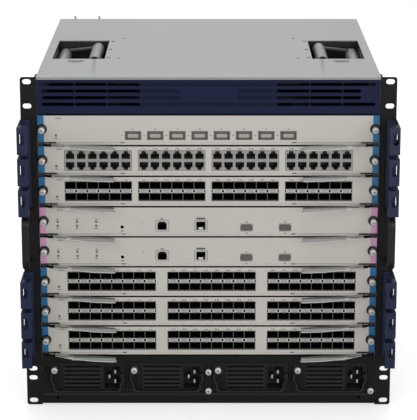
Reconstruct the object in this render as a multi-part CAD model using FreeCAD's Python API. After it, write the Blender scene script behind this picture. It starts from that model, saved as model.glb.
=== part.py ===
import FreeCAD, Part
import math
import os
from FreeCAD import Vector

# A ten-unit modular chassis switch: a sheet steel shell with eight horizontal cards, four power modules
# below them and a fan tray at the back. Millimetres. X runs to the right, Y into the depth from the front
# face of the rack ears, Z up from the underside. place() moves the whole model to its origin at the end.

# Overall shell
body_width = 442.0
body_depth = 447.0
sheet = 1.5
ear_overhang = 20.3

# Heights of the front, from the underside up
lip_height = 17.0
bay_height = 41.0
crossbar_height = 10.4
slot_count = 8
slot_pitch = 40.72
vent_height = 45.5
cover_lip = 4.0

# Front planes, and the gaps that let things slide
ear_thickness = 2.5
face_front = 3.0
face_thickness = 2.0
gasket_gap = 0.8
slide_gap = 0.3
slot_gap = 1.6
face_side_gap = 1.0
touch_gap = 0.3

# Rack holes in the ears
rack_hole_inset = 8.75
rack_slot_length = 11.1
rack_slot_width = 6.7
first_hole = 5.95
hole_step = 31.75
hole_pair_step = 12.7
ear_corner = 3.5
ear_return_depth = 20.0
ear_return_thickness = 2.0
top_flange_width = 8.0
rear_flange_gap = 0.5
front_flange_width = 10.5
rear_tie_height = 4.0
shelf_setback = 12.0

# Exhaust slots of the power bay, in the rear wall
exhaust_rows = 4
exhaust_pitch = 8.0
exhaust_height = 4.0
exhaust_margin = 10.0
exhaust_lift = 5.0

# Cards
board_rear_gap = 17.5
board_thickness = 1.6
board_lift = 6.0
board_side_gap = 13.0
face_return_depth = 12.0
fold_thickness = 1.0
face_return_side_gap = 13.0
hem_height = 3.0
hem_stand = 0.8
notch_width = 23.5
stiffener_depth = 6.0
stiffener_end_gap = 20.0
window_gap = 0.3

# Ejector levers
lever_pivot_inset = 17.0
lever_pivot_forward = 6.0
lever_height = 1.8
lever_skin = 1.0
lever_lip = 1.6
lever_clearance = 0.1
lever_pin_radius = 2.0
lever_boss = 6.0
lever_boss_depth = 10.0
tongue_width = 9.0
tongue_reach = 4.0

# The right lever's outline about its pivot, seen from above
lever_outline = ((7.5, -2.8), (-1.0, -5.4), (-12.0, -11.6), (-19.0, -13.8), (-82.6, -19.2), (-82.2, -13.2),
                 (-24.0, -5.2), (-16.0, -2.0), (-6.0, 3.4), (7.5, 3.4))

# Pins and hubs that repeat have flat sides; a bore stays clear of its pin's corners all the way round
pin_sides = 8
hub_sides = 14
running_gap = 0.05

# How far a cutting shape runs past what it cuts
overcut = 1.0

# Captive thumbscrews, with flats round the head for the fingers
screw_sides = 10
screw_head_radius = 4.0
screw_reach = 11.0
screw_inset = 6.6
screw_drop = 18.0

# Ports
port_pitch = 14.42
block_side_room = 59.2
wide_block_side_room = 46.55
wide_block_shift = 4.0
block_clearance = 8.0
jack_width = 11.0
jack_height = 10.5
jack_shoulder = 7.2
jack_row_gap = 4.0
jack_depth = 27.0
jack_edge = 0.85
jack_latch_inset = 2.2
jack_latch_taper = 0.8
block_back = 2.0
single_jack_width = 17.0
single_jack_height = 14.6
jack_inset = 2.0
jack_places = (-60.5, -10.0)
flat_port_places = (49.6, 99.8)
flat_port_width = 13.1
flat_port_height = 5.3
flat_port_lift = 2.3
flat_port_depth = 14.0
flat_housing_width = 15.3
flat_housing_height = 9.9
contact_width = 10.4
contact_height = 2.2
cage_port_width = 13.6
cage_port_height = 9.5
cage_row_gap = 6.2
cage_depth = 48.0
cage_floor = 0.7
cage_wall = 0.5
wide_port_pitch = 28.6
wide_port_width = 20.6
wide_port_height = 11.2
wide_port_count = 8
wide_port_shift = 2.9
wide_port_wall = 1.0
plug_inset = 1.6
plug_setback = 2.2

# Power modules
module_count = 4
bay_side_margin = 8.5
module_screw_inset = 7.6
module_screw_drop = 8.0
centre_strip = 10.0
partition_width = 4.5
module_rear_gap = 19.0
module_gap = 0.4
louvre_start = 20.0
louvre_inlet_gap = 5.2
louvre_count = 6
louvre_gap = 1.9
louvre_depth = 14.0
louvre_edge = 5.0
louvre_drop = 3.0
inlet_inset = 27.8
inlet_width = 21.2
inlet_height = 30.0
inlet_lift = 5.1
inlet_depth = 18.0
pin_width = 2.5
pin_height = 5.6
pin_setback = 3.0
pin_places = ((6.5, 0.0), (14.2, 6.5), (14.2, -6.5))
bail_strip = 2.6
bail_depth = 4.5
bail_bend = 3.6
bail_pin_radius = 1.5
bail_pivot_drop = 16.0
bail_top_reach = 2.6
bail_lift = 1.0
bail_knee_high = 7.0
bail_knee_low = 13.0
bail_forward = 5.0
bail_side_gap = 1.4
bail_lug_thickness = 2.2
bail_lug_half = 2.5

# Top cover, with a drawn well and a lifting bail on each side
well_side_gap = 12.0
well_length = 70.0
well_front = 127.0
well_run = 140.0
well_depth = 31.0
bail_tube_radius = 8.6
bail_tube_wall = 1.8
bail_axle_radius = 5.0
bail_axle_inset = 9.0
bail_axle_drop = 19.0
bail_grip_inset = 17.0
bail_grip_drop = 10.4
bail_arm_thickness = 4.0
bail_end_gap = 10.0
rear_tab_height = 4.5
rear_tab_thickness = 1.5
rear_tab_width = 3.0
rear_tab_insets = (21.1, 56.7)

# Vent panel
vent_rows = 4
vent_slot_height = 4.0
vent_slot_pitch = 8.7
vent_top_edge = 5.6
vent_side_edge = 6.5
vent_short_edge = 25.0
vent_share = 0.4
vent_bridge_width = 2.2
groove_length = 49.5
groove_depth = 0.8

# Cable guides on the ears
guide_reach = 52.0
guide_inner_inset = 12.3
guide_overhang = 0.9
guide_wall = 2.0
guide_box_depth = 18.0
guide_hook_height = 35.0
guide_hook_lift = 0.3
guide_base_thickness = 3.0
guide_slot_width = 7.1
guide_slot_height = 14.4
guide_slot_outer = 2.3
guide_slot_drop = 8.0
guide_window_edge = 5.0
guide_slot_corner = 2.0

# Pull handles on the ears
handle_height = 73.4
handle_reach = 43.0
handle_width = 9.5
handle_bar = 7.0
handle_inset = 1.6
handle_lift = 2.9
handle_corner = 14.0

# Inside
guide_plate = 2.0
guide_start = 18.0
rail_reach = 14.0
rail_thickness = 1.7
midplane_rear_room = 99.0
midplane_thickness = 4.0
midplane_side_gap = 1.0
connector_depth = 9.5
connector_height = 12.0
connector_width = 60.0
connector_places = (-130.0, 130.0)
connector_drop = 1.0
air_window_width = 165.0
air_window_height = 18.0
air_window_lift = 16.0
power_header_width = 52.0
power_header_height = 16.0
power_header_lift = 12.0
power_plug_width = 48.0
power_plug_inset = 2.0
sink_height = 15.0
sink_width = 110.0
sink_length = 64.0
sink_base = 2.5
sink_fins = 4
sink_fin = 4.0
sink_setback = 110.0
chip_side = 26.0
chip_height = 3.0
chip_places = (-120.0, 90.0)
chip_setback = 215.0
plug_overlap = 14.0

# Fan tray
tray_depth = 62.0
tray_side_gap = 18.0
tray_flange = 12.0
fan_rim = 7.0
fan_side_gap = 1.0
fan_row_gap = 11.78
fan_hub_radius = 30.0
fan_hub_length = 24.0
fan_shaft_radius = 4.0
fan_motor_length = 20.0
fan_blades = 7
fan_blade_thickness = 2.4
fan_blade_chord = 26.0
blade_root = 2.0
fan_blade_pitch_angle = 38.0
fan_tip_gap = 3.0
guard_rows = 6
guard_wire = 3.4
inlet_corner = 24.0
tray_handle_reach = 28.0
tray_handle_height = 110.0
tray_handle_bar = 6.0
tray_handle_width = 10.0
tray_handle_inset = 4.0
handle_chamfer = 5.0
motor_inset = 3.0
hub_gap = 2.0

# Levels and planes worked out from the sizes above
bay_bottom = lip_height
bay_top = bay_bottom + bay_height
cage_bottom = bay_top + crossbar_height
cage_top = cage_bottom + slot_count * slot_pitch
body_height = cage_top + vent_height + cover_lip
half_width = body_width / 2
inner_half = half_width - sheet
face_half = half_width - face_side_gap
ear_edge = half_width + ear_overhang
rack_hole_x = ear_edge - rack_hole_inset
screw_x = half_width - screw_inset
flange_inner = half_width - front_flange_width
notch_inner = face_half - notch_width
lever_pivot_x = half_width - lever_pivot_inset
lever_pivot_y = face_front - lever_pivot_forward
face_back = face_front + face_thickness
frame_front = face_back + gasket_gap
midplane_front = body_depth - midplane_rear_room
board_front = face_back + sheet
board_back = midplane_front - board_rear_gap
board_half = half_width - board_side_gap
stiffener_half = board_half - stiffener_end_gap
block_pitch = (2 * face_half - block_side_room) / 4
wide_block_pitch = (2 * face_half - wide_block_side_room) / 3
module_width = (face_half - bay_side_margin - centre_strip / 2 - partition_width) / 2
module_back = midplane_front - module_rear_gap
inlet_start = module_width - inlet_inset
louvre_width = inlet_start - louvre_start - louvre_inlet_gap
well_outer = half_width - well_side_gap
well_inner = well_outer - well_length
vent_inner = vent_share * face_half
vent_outer = face_half - vent_side_edge
vent_short_outer = face_half - vent_short_edge
tray_roof = cage_top + vent_height - rear_tie_height
tray_bottom = bay_top + sheet + slide_gap
tray_top = tray_roof - slide_gap
tray_half = half_width - tray_side_gap
fan_side_pitch = tray_half - fan_side_gap
fan_height_pitch = (tray_top - tray_bottom) / 2 - fan_row_gap
fan_radius = min(fan_side_pitch, fan_height_pitch) / 2 - fan_rim
fan_front = body_depth - fan_motor_length - fan_hub_length - hub_gap
rear_reach = body_depth + sheet + tray_handle_reach
mid_depth = (rear_reach - guide_reach) / 2


def block(x0, x1, y0, y1, z0, z1):
    return Part.makeBox(x1 - x0, y1 - y0, z1 - z0, Vector(x0, y0, z0))


def rod(radius, start, direction, length):
    return Part.makeCylinder(radius, length, start, direction)


def many_sided(sides, radius, start, direction, length):
    """A flat-sided prism along an axis, with its corners on the radius."""
    turn = FreeCAD.Rotation(Vector(0, 0, 1), direction)
    corners = []
    for index in range(sides):
        angle = 2 * math.pi * (index + 0.5) / sides
        corners.append(start + turn.multVec(Vector(radius * math.cos(angle), radius * math.sin(angle), 0)))
    return prism(Part.makePolygon(corners + [corners[0]]), [], direction * length)


def pin(radius, start, direction, length):
    return many_sided(pin_sides, radius, start, direction, length)


def bore(radius, start, direction, length):
    """The hole for a pin of this radius, clear of it all the way round."""
    flat_radius = radius + running_gap
    return many_sided(pin_sides, flat_radius / math.cos(math.pi / pin_sides), start, direction, length)


def fuse(shapes):
    joined = shapes[0].multiFuse(shapes[1:])
    return joined.removeSplitter()


def mirrored(shape):
    return shape.mirror(Vector(0, 0, 0), Vector(1, 0, 0))


def both_sides(shape):
    return [shape, mirrored(shape)]


def smooth_outline(corners, place):
    """A closed wire through (a, b, radius) corners; place() turns a and b into a point in space."""
    bends = []
    for index, (a, b, radius) in enumerate(corners):
        here = Vector(a, b, 0)
        last = corners[index - 1]
        following = corners[(index + 1) % len(corners)]
        to_last = (Vector(last[0], last[1], 0) - here).normalize()
        to_next = (Vector(following[0], following[1], 0) - here).normalize()
        half_angle = to_last.getAngle(to_next) / 2
        reach = radius / math.tan(half_angle)
        inward = (to_last + to_next).normalize()
        middle = here + inward * (radius / math.sin(half_angle) - radius)
        points = [here + to_last * reach, middle, here + to_next * reach]
        bends.append([place(p.x, p.y) for p in points])
    edges = []
    for index, (start, middle, end) in enumerate(bends):
        if start.distanceToPoint(end) > 1e-6:
            edges.append(Part.Arc(start, middle, end).toShape())
        following = bends[(index + 1) % len(bends)][0]
        if end.distanceToPoint(following) > 1e-6:
            edges.append(Part.LineSegment(end, following).toShape())
    return Part.Wire(edges)


def sharp_outline(points, place):
    path = [place(a, b) for a, b in points]
    return Part.makePolygon(path + [path[0]])


def facing(y):
    """Places a flat outline on the plane that faces the front at depth y."""
    return lambda a, b: Vector(a, y, b)


def level(z):
    return lambda a, b: Vector(a, b, z)


def upright(x):
    return lambda a, b: Vector(x, a, b)


def square_corners(x0, x1, z0, z1):
    return [(x0, z0), (x1, z0), (x1, z1), (x0, z1)]


def cut_corners(x0, x1, z0, z1, cut):
    lower = [(x0 + cut, z0), (x1 - cut, z0), (x1, z0 + cut)]
    upper = [(x1, z1 - cut), (x1 - cut, z1), (x0 + cut, z1)]
    return lower + upper + [(x0, z1 - cut), (x0, z0 + cut)]


def prism(outer, holes, travel):
    face = Part.makeFace([outer] + holes, "Part::FaceMakerBullseye")
    return face.extrude(travel)


def panel(points, holes, y0, y1):
    """A flat sheet facing the front, with an outline of points and a list of hole corner lists."""
    outer = sharp_outline(points, facing(y0))
    cuts = [sharp_outline(hole, facing(y0)) for hole in holes]
    return prism(outer, cuts, Vector(0, y1 - y0, 0))


def slot_floor(slot):
    """The bottom of a slot; slot 1 is the top one."""
    return cage_bottom + (slot_count - slot) * slot_pitch


def module_left(module):
    """The left edge of a power module's bay, counted from the left."""
    inner = centre_strip / 2
    outer = inner + module_width + partition_width
    lefts = [-outer - module_width, -inner - module_width, inner, outer]
    return lefts[module - 1]


# Fasteners


def thumbscrew(x, z, reach):
    """A captive screw's head, standing out of the front by its reach."""
    tip = Vector(x, face_front - reach, z)
    return many_sided(screw_sides, screw_head_radius, tip, Vector(0, 1, 0), reach)


# Shell, cover and inner cage


def shell_side():
    """The right wall with its folded flanges; the card screws pull up to the front one."""
    cover_bottom = body_height - sheet
    wall = block(inner_half, half_width, frame_front, body_depth, 0, cover_bottom)
    top_flange = block(inner_half - top_flange_width, inner_half, frame_front, body_depth,
                       cover_bottom - sheet, cover_bottom)
    front_flange = block(flange_inner, inner_half, frame_front, frame_front + sheet, cage_bottom, cage_top)
    rear_flange = block(tray_half + rear_flange_gap, inner_half, body_depth - sheet, body_depth, sheet,
                        cover_bottom)
    return fuse([wall, top_flange, front_flange, rear_flange])


def shell_rear():
    """The lower rear wall with the power modules' exhaust slots, and the shelf that carries the fan tray."""
    slots = []
    for module in range(1, module_count + 1):
        x0 = module_left(module) + exhaust_margin
        x1 = module_left(module) + module_width - exhaust_margin
        for row in range(exhaust_rows):
            z = lip_height + exhaust_lift + row * exhaust_pitch
            slots.append(square_corners(x0, x1, z, z + exhaust_height))
    wall = panel(square_corners(-inner_half, inner_half, sheet, bay_top + sheet), slots,
                 body_depth - sheet, body_depth)
    shelf = block(-inner_half, inner_half, midplane_front + shelf_setback, body_depth - sheet, bay_top,
                  bay_top + sheet)
    tie = block(-inner_half, inner_half, body_depth - sheet, body_depth, tray_roof, body_height - 2 * sheet)
    return fuse([wall, shelf, tie])


def chassis_shell():
    floor = block(-half_width, half_width, frame_front, body_depth, 0, sheet)
    return fuse([floor, shell_rear()] + both_sides(shell_side()))


def well_box():
    """One drawn well hanging below the cover, on the right, with the axle across it."""
    outer = block(well_inner - sheet, well_outer + sheet, well_front - sheet,
                  well_front + well_run + sheet, body_height - well_depth - sheet, body_height - sheet)
    inside = block(well_inner, well_outer, well_front, well_front + well_run,
                   body_height - well_depth, body_height)
    start = Vector(bail_axle_x(), well_front - sheet / 2, bail_axle_z())
    axle = pin(bail_axle_radius, start, Vector(0, 1, 0), well_run + sheet)
    return fuse([outer.cut(inside), axle])


def top_cover():
    z0 = body_height - sheet
    wells = []
    for side in (1, -1):
        left, right = sorted([side * well_inner, side * well_outer])
        corners = square_corners(left, right, well_front, well_front + well_run)
        wells.append(sharp_outline(corners, level(z0)))
    edge = square_corners(-half_width, half_width, face_front, body_depth)
    sheet_top = prism(sharp_outline(edge, level(z0)), wells, Vector(0, 0, sheet))
    lip = block(-half_width, half_width, face_front, face_front + sheet, body_height - cover_lip, z0)
    tabs = []
    for inset in rear_tab_insets:
        x = inset - half_width
        tabs.append(block(x, x + rear_tab_width, body_depth - rear_tab_thickness, body_depth, z0,
                          body_height + rear_tab_height))
    return fuse([sheet_top, lip] + tabs + both_sides(well_box()))


def guide_side():
    """The right card guide: a plate on the shell wall with a grooved rail for each card's board."""
    outer_face = inner_half
    plate_inner = outer_face - guide_plate
    plate = block(plate_inner, outer_face, guide_start, midplane_front, bay_top, cage_top)
    rails = []
    for slot in range(1, slot_count + 1):
        board_bottom = slot_floor(slot) + board_lift
        board_top = board_bottom + board_thickness
        for bottom in (board_bottom - slide_gap - rail_thickness, board_top + slide_gap):
            rails.append(block(plate_inner - rail_reach, plate_inner, guide_start, midplane_front,
                               bottom, bottom + rail_thickness))
    return fuse([plate] + rails)


def bay_frame_front():
    """The black front of the power bay: a lip, a crossbar, side margins, partitions and a centre strip."""
    windows = []
    for module in range(1, module_count + 1):
        left = module_left(module)
        windows.append(square_corners(left, left + module_width, bay_bottom, bay_top))
    outline = square_corners(-face_half, face_half, sheet / 2, cage_bottom - slot_gap / 2)
    return panel(outline, windows, face_front, face_back)


def card_cage():
    """The welded inner cage: card guides, the decks and partitions of the power bay, and its front."""
    upper_deck = block(-inner_half, inner_half, face_back, midplane_front, bay_top, bay_top + sheet)
    lower_deck = block(-inner_half, inner_half, face_back, midplane_front, bay_bottom - sheet, bay_bottom)
    side = module_left(module_count) - partition_width / 2
    walls = []
    for x in (-side, 0, side):
        for z0, z1 in ((bay_bottom, bay_top), (sheet, bay_bottom - sheet)):
            walls.append(block(x - sheet / 2, x + sheet / 2, face_back, midplane_front, z0, z1))
    guides = both_sides(guide_side())
    return fuse([bay_frame_front(), upper_deck, lower_deck] + walls + guides)


def midplane():
    """The upright backplane board, with headers for the cards and modules and air windows between them."""
    windows = []
    headers = []
    reach = midplane_front - connector_depth
    half = inner_half - midplane_side_gap
    for slot in range(1, slot_count + 1):
        z = slot_floor(slot) + board_lift
        low = z + air_window_lift
        for start in (-air_window_width - partition_width, partition_width):
            windows.append(square_corners(start, start + air_window_width, low, low + air_window_height))
        low = z - connector_drop
        for x in connector_places:
            headers.append(block(x - connector_width / 2, x + connector_width / 2, reach, midplane_front,
                                 low, low + connector_height))
    for module in range(1, module_count + 1):
        x = module_left(module) + module_width / 2
        z = bay_bottom + power_header_lift
        headers.append(block(x - power_header_width / 2, x + power_header_width / 2, reach, midplane_front,
                             z, z + power_header_height))
    outline = square_corners(-half, half, lip_height, cage_top)
    board = panel(outline, windows, midplane_front, midplane_front + midplane_thickness)
    return fuse([board] + headers)


def vent_slots(z, outer):
    """Slots of one row on the right, split by bridges at thirds of the row; returns their corner lists."""
    third = (vent_outer - vent_inner) / 3
    marks = [vent_inner]
    for bridge in (vent_inner + third, vent_inner + 2 * third):
        marks += [bridge - vent_bridge_width / 2, bridge + vent_bridge_width / 2]
    marks.append(outer)
    spans = zip(marks[0::2], marks[1::2])
    return [square_corners(start, end, z, z + vent_slot_height) for start, end in spans]


def groove(side, z, middle):
    """A shallow groove from a row of slots towards the middle; a middle row's ends in a point."""
    tip = side * (vent_inner - vent_bridge_width / 2)
    top = z + vent_slot_height
    if middle:
        end = side * (vent_inner - groove_length)
        point = end - side * vent_slot_height / 2
        outline = [(tip, z), (end, z), (point, z + vent_slot_height / 2), (end, top), (tip, top)]
    else:
        outline = [(tip, z), (0, z), (0, top), (tip, top)]
    return panel(outline, [], face_front - overcut, face_front + groove_depth)


def vent_panel():
    """The front panel above the cards: four rows of slots on each side, joined by grooves."""
    z0 = cage_top + slot_gap / 2
    z1 = body_height - cover_lip - touch_gap
    holes = []
    grooves = []
    for row in range(vent_rows):
        z = z1 - vent_top_edge - vent_slot_height / 2 - row * vent_slot_pitch
        middle = 0 < row < vent_rows - 1
        holes += vent_slots(z, vent_short_outer if middle else vent_outer)
        holes += [[(-x, height) for x, height in corners] for corners in vent_slots(z, vent_outer)]
        grooves += [groove(side, z, middle) for side in (1, -1)]
    front = panel(square_corners(-face_half, face_half, z0, z1), holes, face_front, face_back)
    depth = face_back + face_return_depth
    returns = [block(-board_half, board_half, face_back, depth, z, z + fold_thickness)
               for z in (z0, z1 - fold_thickness)]
    return fuse([front.cut(Part.makeCompound(grooves))] + returns)


# Rack ears, cable guides and pull handles


def rack_slot(z):
    """A slot with half-round ends, lying along X."""
    half_height = rack_slot_width / 2
    left = rack_hole_x - rack_slot_length / 2 + half_height
    right = rack_hole_x + rack_slot_length / 2 - half_height
    top, bottom = z + half_height, z - half_height
    right_end = Part.Arc(Vector(right, 0, bottom), Vector(right + half_height, 0, z), Vector(right, 0, top))
    left_end = Part.Arc(Vector(left, 0, top), Vector(left - half_height, 0, z), Vector(left, 0, bottom))
    sides = [Part.LineSegment(Vector(right, 0, top), Vector(left, 0, top)),
             Part.LineSegment(Vector(left, 0, bottom), Vector(right, 0, bottom))]
    return Part.Wire([right_end.toShape(), sides[0].toShape(), left_end.toShape(), sides[1].toShape()])


def rack_slot_heights():
    low = [first_hole, first_hole + hole_step, first_hole + hole_step + hole_pair_step]
    high = [body_height - first_hole - hole_step, body_height - first_hole]
    return low + high


def ear_right():
    corners = [(half_width, 0, 0), (ear_edge, 0, ear_corner), (ear_edge, body_height, ear_corner),
               (half_width, body_height, 0)]
    flange = prism(smooth_outline(corners, facing(0)), [rack_slot(z) for z in rack_slot_heights()],
                   Vector(0, ear_thickness, 0))
    side = block(half_width, half_width + ear_return_thickness, ear_thickness,
                 ear_thickness + ear_return_depth, 0, body_height)
    return fuse([flange, side])


def guide_hook(z):
    """One hook: a side wall with a window, and a slotted box, open at its back, across its front end."""
    outer = ear_edge + guide_overhang
    inner = ear_edge - guide_inner_inset
    top = z + guide_hook_height
    box_back = -guide_reach + guide_box_depth
    edge = guide_window_edge
    wall_outline = sharp_outline(square_corners(-guide_reach, 0, z, top), upright(outer - guide_wall))
    window = sharp_outline(square_corners(box_back + guide_wall, -edge, z + edge, top - edge),
                           upright(outer - guide_wall))
    wall = prism(wall_outline, [window], Vector(guide_wall, 0, 0))
    slot_right = outer - guide_slot_outer
    slot_top = top - guide_slot_drop
    slot = cut_corners(slot_right - guide_slot_width, slot_right, slot_top - guide_slot_height, slot_top,
                       guide_slot_corner)
    box = panel(square_corners(inner, outer, z, top), [slot], -guide_reach, box_back)
    hollow = block(inner + guide_wall, outer - guide_wall, guide_wall - guide_reach, box_back + overcut,
                   z + guide_wall, top - guide_wall)
    return fuse([wall, box.cut(hollow)])


def cable_guide(slots):
    """A row of hooks on the right ear, one to a slot, on a strip that is fixed to the ear."""
    outer = ear_edge + guide_overhang
    bottom = slot_floor(slots[-1]) + guide_hook_lift
    top = slot_floor(slots[0]) + guide_hook_lift + guide_hook_height
    strip = block(outer - guide_inner_inset - guide_overhang, outer, -guide_base_thickness, 0, bottom, top)
    hooks = [guide_hook(slot_floor(slot) + guide_hook_lift) for slot in slots]
    return fuse([strip] + hooks)


def handle_right():
    """A bent strap standing on the ear, with an opening for the fingers."""
    bottom = cage_bottom + slot_count / 2 * slot_pitch + handle_lift - handle_height / 2
    top = bottom + handle_height
    x0 = ear_edge - handle_inset - handle_width
    inner_corner = handle_corner - handle_bar
    outer = [(0, bottom, 0), (-handle_reach, bottom, handle_corner), (-handle_reach, top, handle_corner),
             (0, top, 0), (0, top - handle_bar, 0),
             (-handle_reach + handle_bar, top - handle_bar, inner_corner),
             (-handle_reach + handle_bar, bottom + handle_bar, inner_corner), (0, bottom + handle_bar, 0)]
    return prism(smooth_outline(outer, upright(x0)), [], Vector(handle_width, 0, 0))


# Lifting bails in the cover's wells


def bail_axle_x():
    return well_outer - bail_axle_inset


def bail_axle_z():
    return body_height - bail_axle_drop


def lifting_bail():
    """Two tubes joined by an arm at each end; it swings on the axle through the outer tube."""
    y0 = well_front + bail_end_gap
    y1 = well_front + well_run - bail_end_gap
    length = y1 - y0
    hinge = Vector(bail_axle_x(), y0, bail_axle_z())
    grip = Vector(well_inner + bail_grip_inset, y0, body_height - bail_grip_drop)
    along = Vector(0, 1, 0)
    sleeve = rod(bail_tube_radius, hinge, along, length)
    tube = rod(bail_tube_radius, grip, along, length)
    across = grip - hinge
    lean = math.atan2(across.z, across.x)
    arms = []
    for y in (y0, y1 - bail_arm_thickness):
        half = bail_tube_radius - bail_tube_wall
        arm = block(0, across.Length, y, y + bail_arm_thickness, -half, half)
        arm.rotate(Vector(0, 0, 0), Vector(0, 1, 0), -math.degrees(lean))
        arm.translate(Vector(hinge.x, 0, hinge.z))
        arms.append(arm)
    solid = fuse([sleeve, tube] + arms)
    through = length + 2 * overcut
    bores = [bore(bail_axle_radius, hinge - along * overcut, along, through),
             rod(bail_tube_radius - bail_tube_wall, grip - along * overcut, along, through)]
    return solid.cut(Part.makeCompound(bores))


# Cards


def screw_height(slot):
    return slot_floor(slot) + slot_pitch - slot_gap / 2 - screw_drop


def lever_bottom(slot):
    return slot_floor(slot) + slot_gap / 2 + fold_thickness + lever_clearance


def window(x0, x1, z0, z1):
    """A face window round a part that comes through it."""
    return square_corners(x0 - window_gap, x1 + window_gap, z0 - window_gap, z1 + window_gap)


def card_face(slot, windows):
    """A folded front: face plate, hem, returns, lever tongues with their pins, and two captive screws."""
    z0 = slot_floor(slot) + slot_gap / 2
    z1 = slot_floor(slot) + slot_pitch - slot_gap / 2
    notch_top = lever_bottom(slot) + lever_height + lever_clearance
    right = [(notch_inner, z0), (notch_inner, notch_top), (face_half, notch_top), (face_half, z1)]
    outline = right + [(-x, z) for x, z in reversed(right)]
    face = panel(outline, windows, face_front, face_back)
    half = half_width - face_return_side_gap
    folds = [block(-half, half, face_back, face_back + face_return_depth, z, z + fold_thickness)
             for z in (z0, z1 - fold_thickness)]
    hem_half = notch_inner - hem_stand
    hem = block(-hem_half, hem_half, face_front - hem_stand, face_front, z0, z0 + hem_height)
    screw = thumbscrew(screw_x, screw_height(slot), screw_reach)
    return fuse([face, hem] + folds + both_sides(lever_tongue(slot)) + both_sides(screw))


def lever_tongue(slot):
    """The end of the lower fold, run forwards under the right lever, with the lever's pin."""
    bottom = lever_bottom(slot) - lever_clearance
    x = lever_pivot_x
    y = lever_pivot_y
    tongue = block(x - tongue_width / 2, x + tongue_width / 2, y - tongue_reach, face_back + sheet,
                   bottom - fold_thickness, bottom)
    length = lever_height + 2 * lever_clearance
    return fuse([tongue, pin(lever_pin_radius, Vector(x, y, bottom), Vector(0, 0, 1), length)])


def lever_plan(setback):
    """The right lever's outline seen from above, moved back by setback."""
    return [(lever_pivot_x + a, lever_pivot_y + b + setback) for a, b in lever_outline]


def ejector_lever(slot):
    """The right lever of a card: a flat arm with a turned-down front lip, bored for its pin."""
    z = lever_bottom(slot)
    below = z - overcut
    x, y = lever_pivot_x, lever_pivot_y
    up = Vector(0, 0, 1)
    body = prism(sharp_outline(lever_plan(0), level(z)), [], up * lever_height)
    hollow_height = lever_height - lever_skin + overcut
    hollow = prism(sharp_outline(lever_plan(lever_lip), level(below)), [], up * hollow_height)
    keep = block(x - lever_boss, x + lever_boss_depth, y - lever_boss_depth, y + lever_boss_depth,
                 below, z + lever_height)
    body = body.cut(hollow.cut(keep))
    return body.cut(bore(lever_pin_radius, Vector(x, y, below), up, lever_height + 2 * overcut))


def jack_outline(x, z, up):
    """A phone-style jack opening: a rectangle with a stepped latch notch on its upper or lower side."""
    half = jack_width / 2
    latch = half - jack_latch_inset
    latch_top = latch - jack_latch_taper
    points = [(-half, 0), (half, 0), (half, jack_shoulder), (latch, jack_shoulder), (latch_top, jack_height),
              (-latch_top, jack_height), (-latch, jack_shoulder), (-half, jack_shoulder)]
    if up:
        return [(x + a, z + b) for a, b in points]
    return [(x + a, z + jack_height - b) for a, b in points]


def port_columns(room):
    """How many ports fit side by side in a block of the given room."""
    return int((room - block_clearance) // port_pitch)


def blind_block(outline, holes, depth):
    """A block behind the face with holes that stop short of its back."""
    bottom = face_front + depth - block_back
    return fuse([panel(outline, holes, face_front, bottom), panel(outline, [], bottom, face_front + depth)])


def jack_block(x, z, columns):
    """Two rows of jacks back to back in one moulded block."""
    width = columns * port_pitch
    height = 2 * jack_height + jack_row_gap + 2 * jack_edge
    holes = []
    for column in range(columns):
        centre = x - width / 2 + (column + 0.5) * port_pitch
        holes.append(jack_outline(centre, z + jack_edge, False))
        holes.append(jack_outline(centre, z + jack_edge + jack_height + jack_row_gap, True))
    outline = square_corners(x - width / 2, x + width / 2, z, z + height)
    return blind_block(outline, holes, jack_depth), outline


def cage_block(x, z, columns):
    """Two rows of pluggable module cages with a band between them."""
    width = columns * port_pitch
    height = cage_floor + 2 * cage_port_height + cage_row_gap
    holes = []
    for column in range(columns):
        left = x - width / 2 + (column + 0.5) * port_pitch - cage_port_width / 2
        for bottom in (z + cage_floor + cage_wall, z + height - cage_port_height - cage_wall):
            holes.append(square_corners(left, left + cage_port_width, bottom, bottom + cage_port_height))
    outline = square_corners(x - width / 2, x + width / 2, z, z + height)
    return blind_block(outline, holes, cage_depth), outline


def wide_cage(x, z):
    """One wide port with its dust plug seated a little way in."""
    half = wide_port_width / 2
    top = z + wide_port_height
    wall = wide_port_wall
    outline = square_corners(x - half, x + half, z, top)
    hole = square_corners(x - half + wall, x + half - wall, z + wall, top - wall)
    front = panel(outline, [hole], face_front, face_front + cage_depth)
    plug_half = half - plug_inset
    plug = block(x - plug_half, x + plug_half, face_front + plug_setback, face_front + cage_depth, z + wall,
                 top - plug_inset)
    return fuse([front, plug]), outline


def single_jack(x, z, up):
    """One jack of a supervisor card in its own housing."""
    half = single_jack_width / 2
    outline = square_corners(x - half, x + half, z, z + single_jack_height)
    return blind_block(outline, [jack_outline(x, z + jack_inset, up)], jack_depth), outline


def flat_port(x, z):
    """A flat socket in its sleeve, with the contact tongue in its upper half."""
    half = flat_housing_width / 2
    bottom = z + flat_port_lift
    top = bottom + flat_port_height
    outline = square_corners(x - half, x + half, z, z + flat_housing_height)
    hole = square_corners(x - flat_port_width / 2, x + flat_port_width / 2, bottom, top)
    sleeve = blind_block(outline, [hole], flat_port_depth + block_back)
    tongue = block(x - contact_width / 2, x + contact_width / 2, face_front + block_back,
                   face_front + flat_port_depth, top - contact_height, top)
    return fuse([sleeve, tongue]), outline


def heat_sink(x, y, z):
    """A finned block, drawn as a comb seen from the front."""
    gap = (sink_width - sink_fins * sink_fin) / (sink_fins - 1)
    comb = [(x, z), (x + sink_width, z)]
    for index in reversed(range(sink_fins)):
        left = x + index * (sink_fin + gap)
        comb += [(left + sink_fin, z + sink_height), (left, z + sink_height)]
        if index:
            comb += [(left, z + sink_base), (left - gap, z + sink_base)]
    return panel(comb, [], y, y + sink_length)


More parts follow.
